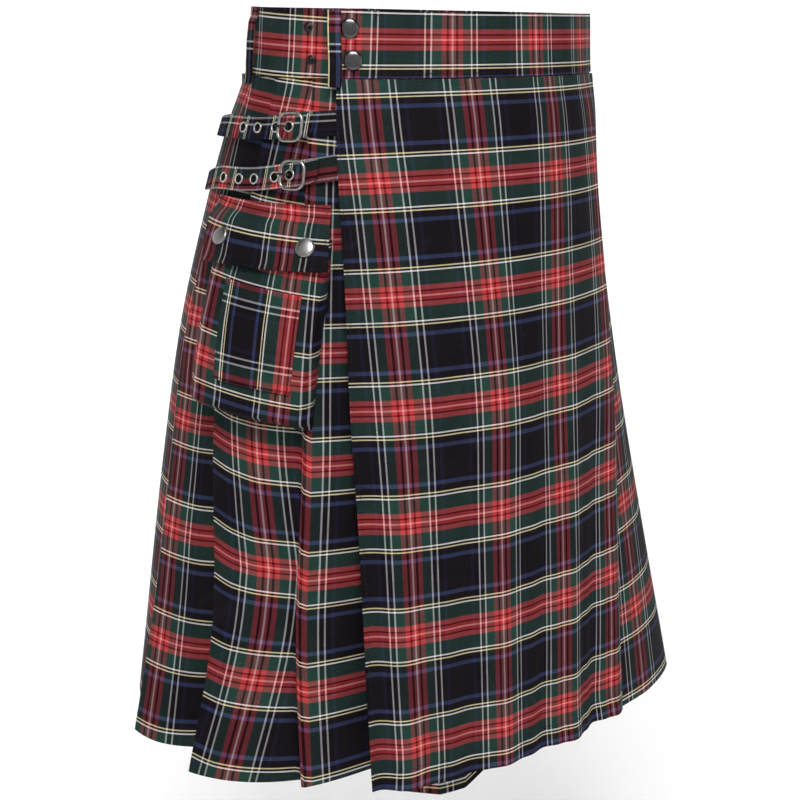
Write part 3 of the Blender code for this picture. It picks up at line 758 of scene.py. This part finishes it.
def under_band(angle, out):
    """The pleats' top edge at the back and left, brought out to lie right under the band."""
    share = max(0.0, min(1.0, (-angle - 98.0) / 6.0, (angle + 296.0) / 6.0))
    near = max(out, -0.0012)
    return out + share * (TOP_OUT + near + (out - near) * 0.2 - out)


def pleated_skirt():
    grid = []
    for drop in ROWS + [PLEAT_HEM]:
        line = []
        for angle, out, across in pleat_line(drop):
            out = under_band(angle, out) if drop == SKIRT_TOP else out
            longer = clamp((-angle - 150.0) / 60.0) * max(0.0, (drop - 0.45) / (PLEAT_HEM - 0.45))
            low = drop + (LEFT_HEM - PLEAT_HEM) * longer
            line.append((on_form(low, angle, out), (across, down_pleats(drop, angle))))
        grid.append(line)
    return wall("pleated_length", "pleated_skirt", grid, CLOTH)


# ---- the aprons ----
APRON_COLUMNS = 79


def apron_out(drop, place):
    """How far the over apron lies out from the form, with its flutes."""
    fall = max(0.0, (drop - 0.12) / (APRON_HEM - 0.12)) ** 1.4
    total = 0.0
    for centre, half, tall in FLUTES:
        near = (place - centre) / half
        if abs(near) < 1.0:
            total += tall * (0.5 + 0.5 * math.cos(math.pi * near))
    return APRON_OUT + APRON_FULL * clamp((drop - BAND_HIGH) / 0.03) + total * fall


def apron_across(drop, angle):
    """Repeats across the apron at this angle, read along its row of red centres."""
    spots = [(smooth(APRON_SETT, drop, k), float(k)) for k in range(1, 5)]
    if angle < spots[0][0]:
        return 1.0 + (angle - spots[0][0]) / (spots[1][0] - spots[0][0])
    if angle > spots[3][0]:
        return 4.0 + (angle - spots[3][0]) / (spots[3][0] - spots[2][0])
    return smooth(spots, angle, 1)


def over_apron():
    grid = []
    for drop in ROWS + [APRON_HEM]:
        right, end = apron_edges(drop)
        line = [(right + (end - right) * place, apron_out(drop, place))
                for place in spread(0.0, 1.0, APRON_COLUMNS)]
        # its left edge turns under and goes on behind, in front of the first pleat
        out = line[-1][1]
        line += [(end + tip, out - FOLD * deep)
                 for tip, deep in ((0.35, 0.4), (0.5, 1.0), (0.35, 1.6), (0.0, 2.0))]
        line += [(end - back, out - 2 * FOLD - sunk * 0.45 * opened(drop))
                 for back, sunk in ((2.0, 0.003), (4.0, 0.006), (6.5, 0.010), (9.0, 0.014))]
        row = []
        for n, (angle, out) in enumerate(line):
            place = min(n / (APRON_COLUMNS - 1), 1.0)
            turned_under = max(n - (APRON_COLUMNS - 1), 0)
            across = apron_across(drop, end if turned_under else angle) + turned_under * 0.02
            down = (drop - APRON_RED) / WEFT
            row.append((on_form(drop, angle, out), (across + drawn(APRON_DRAWN_ACROSS, drop, place),
                                                    down + drawn(APRON_DRAWN_DOWN, drop, place))))
        grid.append(row)
    return wall("front_apron", "over_apron", grid, CLOTH)


def under_apron():
    def place(drop, share):
        edge, left = apron_edges(drop)
        right, wide = edge + TUCKED, left - UNDER_SHORT - (edge + TUCKED)
        start = -stand(APRON_STAND, drop)
        deep = start + (-stand(UNDER_STAND, drop) - start) * min(1.0, share / 0.2) - 0.0012
        low = (UNDER_HEM_LOW - UNDER_HEM) * clamp((0.55 - share) / 0.2)
        low *= max(0.0, (drop - 0.5) / (UNDER_HEM - 0.5))
        angle = right + 0.45 + wide * share
        across = 0.75 + arc(drop, right, angle) / WARP
        return on_form(drop + low, angle, deep), (across, (drop - APRON_RED) / WEFT - 0.12)

    grid = laid(ROWS + [UNDER_HEM], spread(0.0, 1.0, 41), place)
    return wall("under_apron_panel", "under_apron", grid, CLOTH)


# ---- the waistband and its loops ----
BAND_LIES = [
    # degrees along the strip, out
    (-51, 0.0016), (39, 0.0016), (45, 0.0012), (58, 0.0), (72, -0.0012), (84, -0.0015),
]


def band_out(turn):
    return between(BAND_LIES, turn, 1)


def waistband():
    def place(drop, turn):
        pull = 0.0003 * math.sin(turn * 0.9)
        return (on_form(drop, turn, band_out(turn) + pull),
                (between(BAND_SETT, turn, 1), (drop - between(BAND_RED, turn, 1)) / WEFT))

    drops = (0.0, 0.0004, 0.006, 0.014, 0.022, 0.030, 0.038, 0.045, 0.0496, BAND_HIGH)
    return wall("band", "waistband", laid(drops, spread(-51.0, 396.0, 225), place), BAND_WALL)


LOOPS = [
    # node, angles at the top and the foot, out at the band, further out at the foot
    ("belt_loop_front_right", -52.7, -50.8, 0.0043, 0.0034),
    ("belt_loop_right", -92.6, -93.4, 0.0012, 0.0012),
    ("belt_loop_back_right", -150.0, -150.0, 0.0012, 0.0012),
    ("belt_loop_back_left", 150.0, 150.0, 0.0012, 0.0012),
    ("belt_loop_left", 93.0, 93.0, 0.0012, 0.0012),
]
LOOP_HALF = 0.0051
LOOP_LONG = 0.0565


def across_loop(row, drop, off, sides):
    """Points across a loop, all lifted by the same amount from where it is sewn."""
    top, foot, out = row[1:4]
    here, around = local_frame(drop, top + (foot - top) * drop / LOOP_LONG, out + off)[:2]
    return [here + around * (LOOP_HALF * side) for side in sides]


def belt_loop(row):
    name, foot = row[0], row[4]
    profile = [
        # drop, out above the band's face
        (0.0005, 0.0), (0.0060, 0.0004), (0.0100, 0.0026), (0.0250, 0.0036), (0.0400, 0.0030),
        (0.0490, foot + 0.0006), (LOOP_LONG, foot),
    ]
    sides = spread(-1.0, 1.0, 7)
    grid = []
    for drop in spread(0.0005, LOOP_LONG, 22):
        points = across_loop(row, drop, between(profile, drop, 1), sides)
        along = 0.2375 + (drop - 0.0275) / WARP
        grid.append([(spot, (along, 0.252 + LOOP_HALF * (side + 0.9) / WEFT))
                     for spot, side in zip(points, sides)])
    return wall(name + "_strip", name, grid, LOOP_WALL, "tartan_strap")


# ---- the cargo pocket ----
def pleat_face_out(drop, angle):
    start, depth = apron_edges(drop)[0] + TUCKED, -stand(APRON_STAND, drop)
    for row in PLEATS_RIGHT:
        edge = fold_angle(row, drop)
        if angle >= edge:
            return depth * (angle - edge) / (start - edge)
        start, depth = edge, -stand(row[4], drop)
    return depth


POCKET = [
    # drop, left_angle, front_left_angle, front_right_angle, right_angle, front_out, slant
    (0.176, -88.0, -83.0, -47.6, -47.0, 0.0080, 0.0),
    (0.206, -88.0, -81.0, -47.6, -46.8, 0.0150, 0.0),
    (0.240, -88.0, -79.5, -48.2, -47.2, 0.0190, 0.0),
    (0.280, -88.0, -78.5, -49.4, -47.6, 0.0215, 0.001),
    (0.308, -87.5, -78.0, -50.4, -47.8, 0.0220, 0.004),
]
POCKET_TOP, POCKET_LOW = POCKET[0][0], POCKET[-1][0]
POCKET_FOOT = [
    # share of the fullness left, further down: the lower edge goes back to the pleats
    (0.82, 0.0035), (0.45, 0.0060), (0.0, 0.0105),
]
POCKET_SETT = [
    # drop, angles of repeats -1, -0.7625, -0.2375, 0 and 0.2375
    (0.205, -80.0, -73.0, -60.8, -55.2, -49.9),
    (0.298, -77.7, -70.2, -59.6, -54.2, -49.0),
]
POCKET_WEFT = 0.0825
LINES = (-1.0, -0.7625, -0.2375, 0.0, 0.2375)
WHITE_LINE = 0.221        # repeats from a red centre to the white line


def lines_across(table, lines, drop, angle, before_first, past_last):
    """Repeats across, read between a table's lines and at an even scale past them."""
    spots = [(between(table, drop, k + 1), line) for k, line in enumerate(lines)]
    if angle < spots[0][0]:
        return lines[0] + (angle - spots[0][0]) * before_first
    if angle > spots[-1][0]:
        return lines[-1] + (angle - spots[-1][0]) * past_last
    return between(spots, angle, 1)


def pocket_place(drop, angle):
    across = lines_across(POCKET_SETT, LINES, drop, angle, 0.032, 0.044)
    white = 0.2068 + 0.00037 * (angle + 75.3)
    return across, WHITE_LINE + (drop - white) / POCKET_WEFT


def pocket_row(drop, share, extra):
    far_left, left, right, far_right, out, slant = (between(POCKET, drop, k) for k in range(1, 7))
    lift = CLOTH + SEAM + 0.0004
    line = []

    def add(place, angle, off):
        low = drop + extra + slant * (2 * place - 1)
        line.append((on_form(low, angle, off), pocket_place(low, angle)))

    def lies(angle):
        return pleat_face_out(drop + extra, angle) + lift

    # the gusset at the back
    middle = (far_left + left) / 2
    low_out = lies(far_left)
    mid_out = lies(middle) + (out * 0.55 - lies(middle)) * share
    add(0.0, far_left, low_out)
    add(0.0, (far_left + middle) / 2, (low_out + mid_out) / 2 + 0.0006 * share)
    add(0.0, middle, mid_out)
    # the front, clear of every fold under it
    for k, angle in enumerate(spread(left, right, 25)):
        inner = max(lies(angle + step) for step in range(-3, 4)) + 0.0006
        full = inner + (out - inner) * share
        if k == 0:
            add(0.0, (middle + left) / 2, (mid_out + full) / 2 + 0.0006 * share)
        soft = 0.0006 * share * math.sin(math.pi * k / 24) * math.sin(drop * 60)
        add(k / 24, angle, full + soft)
    # the gusset at the front
    low_out = lies(far_right)
    add(1.0, right + (far_right - right) * 0.55, full + (low_out - full) * 0.25)
    add(1.0, far_right, full + (low_out - full) * 0.6)
    add(1.0, far_right, low_out)
    return line


def pocket():
    grid = [pocket_row(drop, 1.0, 0.0) for drop in spread(POCKET_TOP, POCKET_LOW, 26)]
    grid += [pocket_row(POCKET_LOW, share, extra) for share, extra in POCKET_FOOT]
    return wall("pocket_bag", "cargo_pocket", grid, CLOTH)


PATCH = [
    # share down, left_drop, right_drop, left_angle, right_angle
    (0.0, 0.2085, 0.2163, -74.4, -52.0),
    (1.0, 0.2848, 0.2898, -71.7, -52.1),
]
PATCH_LONG = 0.0763
PATCH_SETT = [
    # share across, repeats
    (0.0, -0.85), (0.11, -0.7635), (0.37, -0.50), (0.634, -0.2365), (0.91, 0.0), (1.0, 0.07),
]


def on_patch(down, across, lift=0.0):
    """A point of the panel on the pocket's front, which hangs a little askew."""
    left_drop, right_drop, left, right = (between(PATCH, down, k) for k in range(1, 5))
    drop = left_drop + (right_drop - left_drop) * across
    out = between(POCKET, drop, 5) + CLOTH + SEAM + 0.0005 + lift
    soft = 0.0006 * math.sin(math.pi * across) * math.sin(drop * 60)
    return on_form(drop, left + (right - left) * across, out + soft)


def pocket_patch():
    """The panel is turned across the cloth, so its lines change places."""
    def place(down, share):
        return on_patch(down, share), (0.07 + PATCH_LONG * down / WARP, between(PATCH_SETT, share, 1))

    shares = spread(0.0, 1.0, 20)
    return wall("patch", "pocket_patch", laid(shares, shares, place), CLOTH)


FLAP = [
    # drop, left_angle, right_angle, out
    (0.1490, -93.5, -47.8, 0.0022),
    (0.1585, -93.5, -47.6, 0.0026),
    (0.1650, -92.5, -47.4, 0.0080),
    (0.1790, -89.5, -46.9, 0.0130),
    (0.1975, -84.5, -46.2, 0.0190),
]
FLAP_SETT = [
    # drop, angles of repeats -0.7625, -0.2375, 0 and 0.2375
    (0.149, -79.5, -66.0, -60.0, -53.4),
    (0.161, -80.8, -65.4, -59.0, -53.0),
    (0.192, -77.1, -63.1, -57.6, -52.7),
]


def flap_angle(drop, place):
    left, right = between(FLAP, drop, 1), between(FLAP, drop, 2)
    return left + (right - left) * place


def on_flap(drop, place, lift=0.0):
    return on_form(drop, flap_angle(drop, place), between(FLAP, drop, 3) + lift)


def pocket_flap():
    def place(drop, share):
        angle = flap_angle(drop, share)
        across = lines_across(FLAP_SETT, LINES[1:], drop, angle, 0.035, 0.042)
        white = 0.1685 + (angle + 85.9) * 0.000165
        return on_flap(drop, share), (across, WHITE_LINE + (drop - white) / WEFT)

    grid = laid(spread(FLAP[0][0], FLAP[-1][0], 22), spread(0.0, 1.0, 31), place)
    return wall("flap", "pocket_flap", grid, STRAP_WALL)


# ---- straps and buckles ----
STRAP_HALF = 0.0095
TAB_HALF = 0.0101
TAB_OUT = 0.0020
BUCKLE_OUT = 0.0080
BAR_OUT = 0.0037
STRAPS = [
    # name, buckle_angle, buckle_drop, tongue_drop_at_back, tab_drop_at_apron
    ("upper", -63.6, 0.0880, 0.0915, 0.0845),
    ("lower", -60.2, 0.1255, 0.1330, 0.1185),
]
TONGUE = [
    # degrees back from the buckle, out, share of the way to the back, half width share
    (-7.6, 0.0058, -0.55, 0.60),
    (-6.9, 0.0055, -0.50, 0.92),
    (-5.0, 0.0042, -0.34, 1.0),
    (-2.5, 0.0045, -0.12, 0.97),
    (-1.2, 0.0058, -0.06, 1.0),
    (1.4, 0.0058, 0.07, 1.0),
    (2.5, 0.0045, 0.12, 0.97),
    (5.5, 0.0041, 0.30, 1.0),
    (10.0, 0.0036, 0.55, 1.0),
    (17.0, 0.0036, 0.85, 1.0),
    (24.0, 0.0050, 1.0, 1.0),
    (31.0, 0.0075, 1.10, 1.0),
    (36.0, 0.0086, 1.45, 0.94),
    (41.0, 0.0080, 1.95, 0.84),
    (46.0, 0.0056, 2.35, 0.76),
    (51.0, 0.0030, 2.60, 0.72),
    (54.0, 0.0026, 2.70, 0.70),
]
STRAP_SETT = {
    # strap: how far below its middle a red centre of the long lines lies; angles of the cross lines
    "upper": (-0.0253, [(-118.0, -0.90), (-94.3, -0.24), (-90.0, 0.0), (-84.5, 0.24), (-71.4, 0.76),
                        (-65.5, 1.0), (-58.0, 1.24), (-47.0, 1.70)]),
    "lower": (0.0090, [(-118.0, -0.90), (-94.8, -0.24), (-89.4, 0.0), (-84.6, 0.24), (-70.5, 0.76),
                       (-65.6, 1.0), (-61.0, 1.24), (-46.0, 1.90)]),
}
TAB_LINES = {"upper": -0.0249, "lower": 0.0079}


def on_tongue(strap, turn, side, lift=0.0):
    """A point of a strap, turn degrees back from its buckle; side is -1 to 1 across it."""
    centre, drop, back_drop = strap[1:4]
    middle = drop + (back_drop - drop) * smooth(TONGUE, turn, 2)
    half = STRAP_HALF * between(TONGUE, turn, 3)
    return on_form(middle + half * side, centre - turn, smooth(TONGUE, turn, 1) + lift)


def tongue(strap):
    name, centre = strap[:2]
    red, spots = STRAP_SETT[name]

    def place(turn, side):
        half = STRAP_HALF * between(TONGUE, turn, 3)
        return on_tongue(strap, turn, side), ((half * side - red) / WARP, between(spots, centre - turn, 1))

    tip, shoulder, back = TONGUE[0][0], TONGUE[1][0], TONGUE[-1][0]
    turns = spread(tip, shoulder, 4) + spread(shoulder + 0.5, back, 62)
    grid = laid(turns, spread(-1.0, 1.0, 9), place)
    return wall("strap_" + name, "strap_tongue_" + name, grid, STRAP_WALL, "tartan_strap")


def tab_angle(strap, share):
    """The tab runs from under the apron's edge to just before the buckle's bar."""
    edge = between(APRON_EDGE, strap[4], 1) + 2.5
    return edge + (strap[1] + 1.5 - edge) * share


def on_tab(strap, share, side, lift=0.0):
    drop, apron_drop = strap[2], strap[4]
    middle = apron_drop + (drop - 0.001 - apron_drop) * share
    return on_form(middle + TAB_HALF * side, tab_angle(strap, share), TAB_OUT + lift)


def tab(strap):
    name = strap[0]

    def place(share, side):
        crossing = 1.35 + (tab_angle(strap, share) + 55.0) / 27.0
        return on_tab(strap, share, side), ((TAB_HALF * side - TAB_LINES[name]) / WARP, crossing)

    grid = laid(spread(0.0, 1.0, 16), spread(-1.0, 1.0, 7), place)
    return wall("tab_" + name, "buckle_tab_" + name, grid, TAB_WALL, "tartan_strap")


def rod(name, node, path, radius, sides, out, closed=False, taper=1.0, look="dark_metal"):
    """A wire along a path, closed or with flat ends; its last point is taper times as thick."""
    count = len(path)
    rings = []
    for i, here in enumerate(path):
        last = path[i - 1] if closed or i else path[0]
        after = path[(i + 1) % count] if closed or i < count - 1 else path[-1]
        run = (after - last).normalized()
        flat = run.cross(out).normalized()
        over = flat.cross(run).normalized()
        thick = radius * (1.0 + (taper - 1.0) * i / max(count - 1, 1))
        rings.append([here + (flat * cos + over * sin) * thick for cos, sin in circle(sides)])
    points, faces = skin(rings, closed)
    if not closed:
        faces += [tuple(range(sides))[::-1], tuple(range(len(points) - sides, len(points)))]
    piece(name, node, points, faces, look, 50.0)


BUCKLE_HALF_WIDE = 0.0100
BUCKLE_HALF_HIGH = 0.0111
BUCKLE_CORNER = 0.0068
BUCKLE_WIRE = 0.0013
BUCKLE_BOW = 2.5          # how much the frame bends back towards its ends
BAR_HALF = 0.0112
BAR_WIRE = 0.0008
PRONG_WIRE = 0.0010
PRONG = [
    # distance towards the back from the eyelet's middle, out from the frame's plane
    (-0.0006, 0.0013), (0.0010, 0.0015), (0.0020, 0.0020), (0.0031, 0.0024), (0.0060, 0.0026),
    (0.0102, 0.0024),
]


def buckle(strap, shift):
    """The frame, its centre bar and the prong, which lies shift off the buckle's middle."""
    name, centre, drop = strap[:3]
    here, around, upward, outward = local_frame(drop, centre, BUCKLE_OUT)
    path = []
    for sx, sy in ((1, 1), (-1, 1), (-1, -1), (1, -1)):
        cx, cy = sx * (BUCKLE_HALF_WIDE - BUCKLE_CORNER), sy * (BUCKLE_HALF_HIGH - BUCKLE_CORNER)
        base = math.atan2(sy, sx) - math.pi / 4
        for k in range(11):
            t = base + math.pi / 2 * k / 10
            u, v = cx + BUCKLE_CORNER * math.cos(t), cy + BUCKLE_CORNER * math.sin(t)
            path.append(here + around * u + upward * v - outward * (u * u * BUCKLE_BOW))
    rod("frame_" + name, "buckle_frame_" + name, path, BUCKLE_WIRE, 14, outward, True, look="buckle_metal")
    low, _, bar_up, bar_out = local_frame(drop, centre, BAR_OUT)
    path = [low + bar_up * v for v in spread(-BAR_HALF, BAR_HALF, 5)]
    rod("bar_" + name, "buckle_bar_" + name, path, BAR_WIRE, 12, bar_out)
    path = [here - around * (across + shift) + outward * smooth(PRONG, across, 1)
            for across in spread(PRONG[0][0], PRONG[-1][0], 14)]
    rod("prong_" + name, "buckle_prong_" + name, path, PRONG_WIRE, 12, outward, taper=0.8)


# ---- snaps and eyelets, as (radius, out) ----
CAP = [
    # a rolled rim and a low dome
    (0.0, 0.0), (0.0067, 0.0), (0.0074, 0.0002), (0.0077, 0.0007), (0.0077, 0.0013), (0.0075, 0.0019),
    (0.0071, 0.0024), (0.0064, 0.0028), (0.0052, 0.0031), (0.0035, 0.0033), (0.0017, 0.0034),
    (0.0, 0.0034),
]
STUD = [
    (0.0, 0.0), (0.0034, 0.0), (0.0036, 0.0003), (0.0035, 0.0006), (0.0028, 0.0011), (0.0018, 0.0012),
    (0.0016, 0.0018), (0.0019, 0.0025), (0.0017, 0.0031), (0.0010, 0.0034), (0.0, 0.0035),
]
RING = [
    # an eyelet's rolled rim
    (0.0031, 0.0), (0.0030, 0.0004), (0.0032, 0.0007), (0.0036, 0.0009), (0.0041, 0.0008),
    (0.0045, 0.0005), (0.0046, 0.0),
]
# a near-black disc inside an eyelet's ring: painted shade of the hole through the strap
HOLE_SHADE = [(0.0031, 0.00004), (0.0, 0.00012)]


def snap(name, node, profile, frame, look):
    piece(name, node, *revolved(profile, frame, 40), look, 42.0)


def eyelet(name, node, frame):
    """A metal ring with a near-black disc inside it: painted shade where the strap has its hole."""
    piece(name, node, *revolved(RING, frame, 32, True), "eyelet_metal", 50.0)
    piece(name + "_hole", None, *revolved(HOLE_SHADE, frame, 32), "hole_dark", 50.0)


# ---- stitching ----
STITCH_OUTLINE = ((-1, 0.0), (-0.6, 0.8), (0.6, 0.8), (1, 0.0))


def stitches(name, lines, pitch=0.0034, long=0.0021, thick=0.00026):
    """Short raised threads along lines of points that already lie on the cloth's face."""
    points, faces = [], []
    for line in lines:
        rows = [(0.0, line[0])]
        for a, b in zip(line, line[1:]):
            rows.append((rows[-1][0] + (b - a).length, b))
        at = 0
        for n in range(int(rows[-1][0] / pitch)):
            low = n * pitch + (pitch - long) / 2
            pair = []
            for distance in (low, low + long):
                while at < len(rows) - 2 and rows[at + 1][0] < distance:
                    at += 1
                (d0, p0), (d1, p1) = rows[at], rows[at + 1]
                pair.append(p0 + (p1 - p0) * clamp((distance - d0) / max(d1 - d0, 1e-9)))
            a, b = pair
            run = (b - a).normalized()
            middle = (a + b) / 2
            side = run.cross(Vector((middle.x + 0.02, middle.y, 0.0))).normalized()
            out = side.cross(run).normalized()
            start = len(points)
            for t, wide in ((0.0, 0.45), (0.25, 1.0), (0.75, 1.0), (1.0, 0.45)):
                here = a + (b - a) * t
                for u, v in STITCH_OUTLINE:
                    points.append(here + side * (u * thick * wide) + out * (v * thick * wide))
            for c in (start + k * 4 + m for k in range(3) for m in range(3)):
                faces.append((c, c + 1, c + 5, c + 4))
    piece(name, None, points, faces, "sewing_thread", 60.0)


# ---- putting it together ----
skirt = pleated_skirt()
apron = over_apron()
under = under_apron()
band = waistband()
loops = [belt_loop(row) for row in LOOPS]
bag = pocket()
patch = pocket_patch()
flap = pocket_flap()
EYELETS = {
    # degrees back from the buckle; the first holds the prong
    "upper": [0.6, 6.3, 15.0, 22.5],
    "lower": [1.0, 6.6, 15.2, 22.0, 29.5],
}
PRONG_SHIFT = 0.0025      # metres for each degree between the buckle and its eyelet
straps, tabs = [], []
for strap in STRAPS:
    straps.append(tongue(strap))
    tabs.append(tab(strap))
    buckle(strap, EYELETS[strap[0]][0] * PRONG_SHIFT)
for strap in STRAPS:
    for n, turn in enumerate(EYELETS[strap[0]]):
        half = 0.6 if n == 0 else 1.6
        spots = [on_tongue(strap, turn + step, 0.0) for step in (half, -half)]
        spots += [on_tongue(strap, turn, side) for side in (0.4, -0.4)]
        number = "%s_%d" % (strap[0], n + 1)
        eyelet("ring_" + number, "eyelet_" + number, frame_between(*spots, STRAP_WALL / 2 + 0.0001))
BAND_SNAPS = [
    # piece, angle, drop, out, look, profile
    ("cap_band_top", -47.3, 0.0135, 0.0029, "gunmetal", CAP),
    ("cap_band_low", -45.8, 0.0368, 0.0029, "gunmetal", CAP),
    ("stud_top", -62.6, 0.0132, -0.0002, "dark_metal", STUD),
    ("stud_low", -60.9, 0.0368, -0.0002, "dark_metal", STUD),
]
for name, angle, drop, out, look, profile in BAND_SNAPS:
    snap(name, "snap_" + name, profile, local_frame(drop, angle, out), look)
for name, place, drop in (("cap_flap_back", 0.20, 0.1785), ("cap_flap_front", 0.86, 0.1810)):
    spots = [on_flap(drop, place - 0.05), on_flap(drop, place + 0.05)]
    spots += [on_flap(drop + 0.005, place), on_flap(drop - 0.005, place)]
    snap(name, "snap_" + name, CAP, frame_between(*spots, STRAP_WALL / 2 + 0.0003), "brushed_snap_metal")


def on_band(drop, turn):
    return on_form(drop, turn, band_out(turn) + BAND_WALL / 2)


def on_apron(drop, inside):
    """A point of the over apron's face, inside by so many degrees from its free edge."""
    right, left = apron_edges(drop)
    return on_form(drop, right + inside, apron_out(drop, inside / (left - right)) + CLOTH / 2)


def hem_spot(drop, place):
    """A point of the over apron's face, by its share of the way across."""
    right, left = apron_edges(drop)
    return on_apron(drop, (left - right) * place)


face = STRAP_WALL / 2
lines = [[on_band(drop, turn) for turn in spread(-50.4, 270.0, 120)] for drop in (0.0035, 0.0465)]
lines.append([on_form(drop, -50.2, band_out(-50) + BAND_WALL / 2 + 0.00005)
              for drop in spread(0.003, 0.047, 12)])
stitches("band_stitching", lines)
stitches("apron_stitching", [[hem_spot(0.585, place) for place in spread(0.01, 0.99, 90)],
                             [on_apron(drop, 0.9) for drop in spread(0.054, 0.598, 90)]])
lines = []
for strap in STRAPS:
    lines += [[on_tongue(strap, turn, side, face) for turn in spread(-6.0, 53.0, 90)] for side in (-0.8, 0.8)]
    lines += [[on_tab(strap, share, side, TAB_WALL / 2) for share in spread(0.0, 0.9, 20)]
              for side in (-0.8, 0.8)]
stitches("strap_stitching", lines)
lines = [[on_flap(drop, place, face) for place in spread(0.01, 0.99, 60)] for drop in (0.1510, 0.1570)]
lines.append([on_flap(0.1955, place, face) for place in spread(0.02, 0.98, 60)])
lines += [[on_flap(drop, place, face) for drop in spread(0.150, 0.196, 20)] for place in (0.02, 0.98)]
stitches("flap_stitching", lines)
lines = [[on_patch(down, share, CLOTH / 2) for share in spread(0.02, 0.98, 30)] for down in (0.024, 0.976)]
lines += [[on_patch(down, share, CLOTH / 2) for down in spread(0.02, 0.98, 30)] for share in (0.025, 0.975)]
stitches("patch_stitching", lines)
stitches("loop_stitching", [across_loop(row, drop, off + LOOP_WALL / 2, spread(-0.85, 0.85, 6))
                            for row in LOOPS for drop, off in ((0.0030, 0.0001), (0.0535, row[4]))],
         pitch=0.0024, long=0.0016)


# ---- floor, light and camera ----
FLOOR = -1.05
FLOOR_SIDES = 96


def bowl():
    """A pale floor whose far edge turns up all round."""
    bend = [math.pi / 2 * k / 16 for k in range(1, 17)]
    profile = [(0.0, 0.0), (1.0, 0.0), (2.5, 0.0), (3.6, 0.0)]
    profile += [(3.6 + 1.4 * math.sin(t), 1.4 - 1.4 * math.cos(t)) for t in bend] + [(5.0, 4.6)]
    middle = (Vector((0, 0, FLOOR)), Vector((1, 0, 0)), Vector((0, 1, 0)), Vector((0, 0, 1)))
    points, faces = revolved(profile[::-1], middle, FLOOR_SIDES)
    tree, shader = material("pale_floor")
    cloudy = tree.noise(tree.spot(), 0.8, 3.0)
    tree.put(shader.inputs["Base Color"], tree.mix(cloudy, (0.93, 0.93, 0.93, 1), (0.96, 0.96, 0.96, 1)))
    shader.inputs["Roughness"].default_value = 0.9
    made = shaped("floor", points, faces, "pale_floor")
    return made


def lamp(name, spot, aim, size, power):
    data = bpy.data.lights.new(name, "AREA")
    data.shape = "DISK"
    data.size = size
    data.energy = power
    made = bpy.data.objects.new(name, data)
    made.location = spot
    made.rotation_mode = "QUATERNION"
    made.rotation_quaternion = (Vector(aim) - Vector(spot)).to_track_quat("-Z", "Y")
    bpy.context.collection.objects.link(made)
    return made


lamp("key", (-0.72, -1.05, 1.2), (0.0, 0.0, -0.1), 0.9, 18.3)
lamp("fill", (0.4, -2.4, 0.4), (0.0, 0.0, -0.2), 1.6, 2.5)
lamp("top", (0.0, 0.1, 2.6), (0.0, 0.0, -0.3), 1.8, 6.5)
behind = bpy.data.collections.new("floor and backdrop")
behind.objects.link(bowl())
for flooded in (lamp("backdrop", (1.6, 2.4, 2.6), (2.2, 3.2, -1.0), 1.6, 90.0),
                lamp("floor light", (-1.3, 1.6, 2.2), (0.2, 1.6, -1.0), 1.6, 34.0)):
    flooded.light_linking.receiver_collection = behind
world = bpy.data.worlds.new("studio")
world.use_nodes = True
background = world.node_tree.nodes["Background"].inputs
background["Color"].default_value = (1.0, 1.0, 1.0, 1.0)
background["Strength"].default_value = 0.05
bpy.context.scene.world = world
bpy.context.scene.view_settings.view_transform = "Standard"

AZIMUTH, PITCH, ROLL = (math.radians(angle) for angle in (34.4123, 12.4756, 0.3397))
AWAY = 1.1257
EYE_HIGH = -0.0014
lens = bpy.data.cameras.new("camera")
lens.sensor_width = 36.0
lens.lens = 57.134
lens.shift_x = -0.0349
lens.shift_y = -0.13
lens.clip_start = 0.05
camera = bpy.data.objects.new("camera", lens)
place = Vector((-math.sin(AZIMUTH) * AWAY, -math.cos(AZIMUTH) * AWAY, EYE_HIGH))
aim = Matrix.Rotation(-AZIMUTH, 4, "Z") @ Matrix.Rotation(math.pi / 2 - PITCH, 4, "X")
camera.matrix_world = Matrix.Translation(place) @ aim @ Matrix.Rotation(ROLL, 4, "Z")
bpy.context.collection.objects.link(camera)
bpy.context.scene.camera = camera
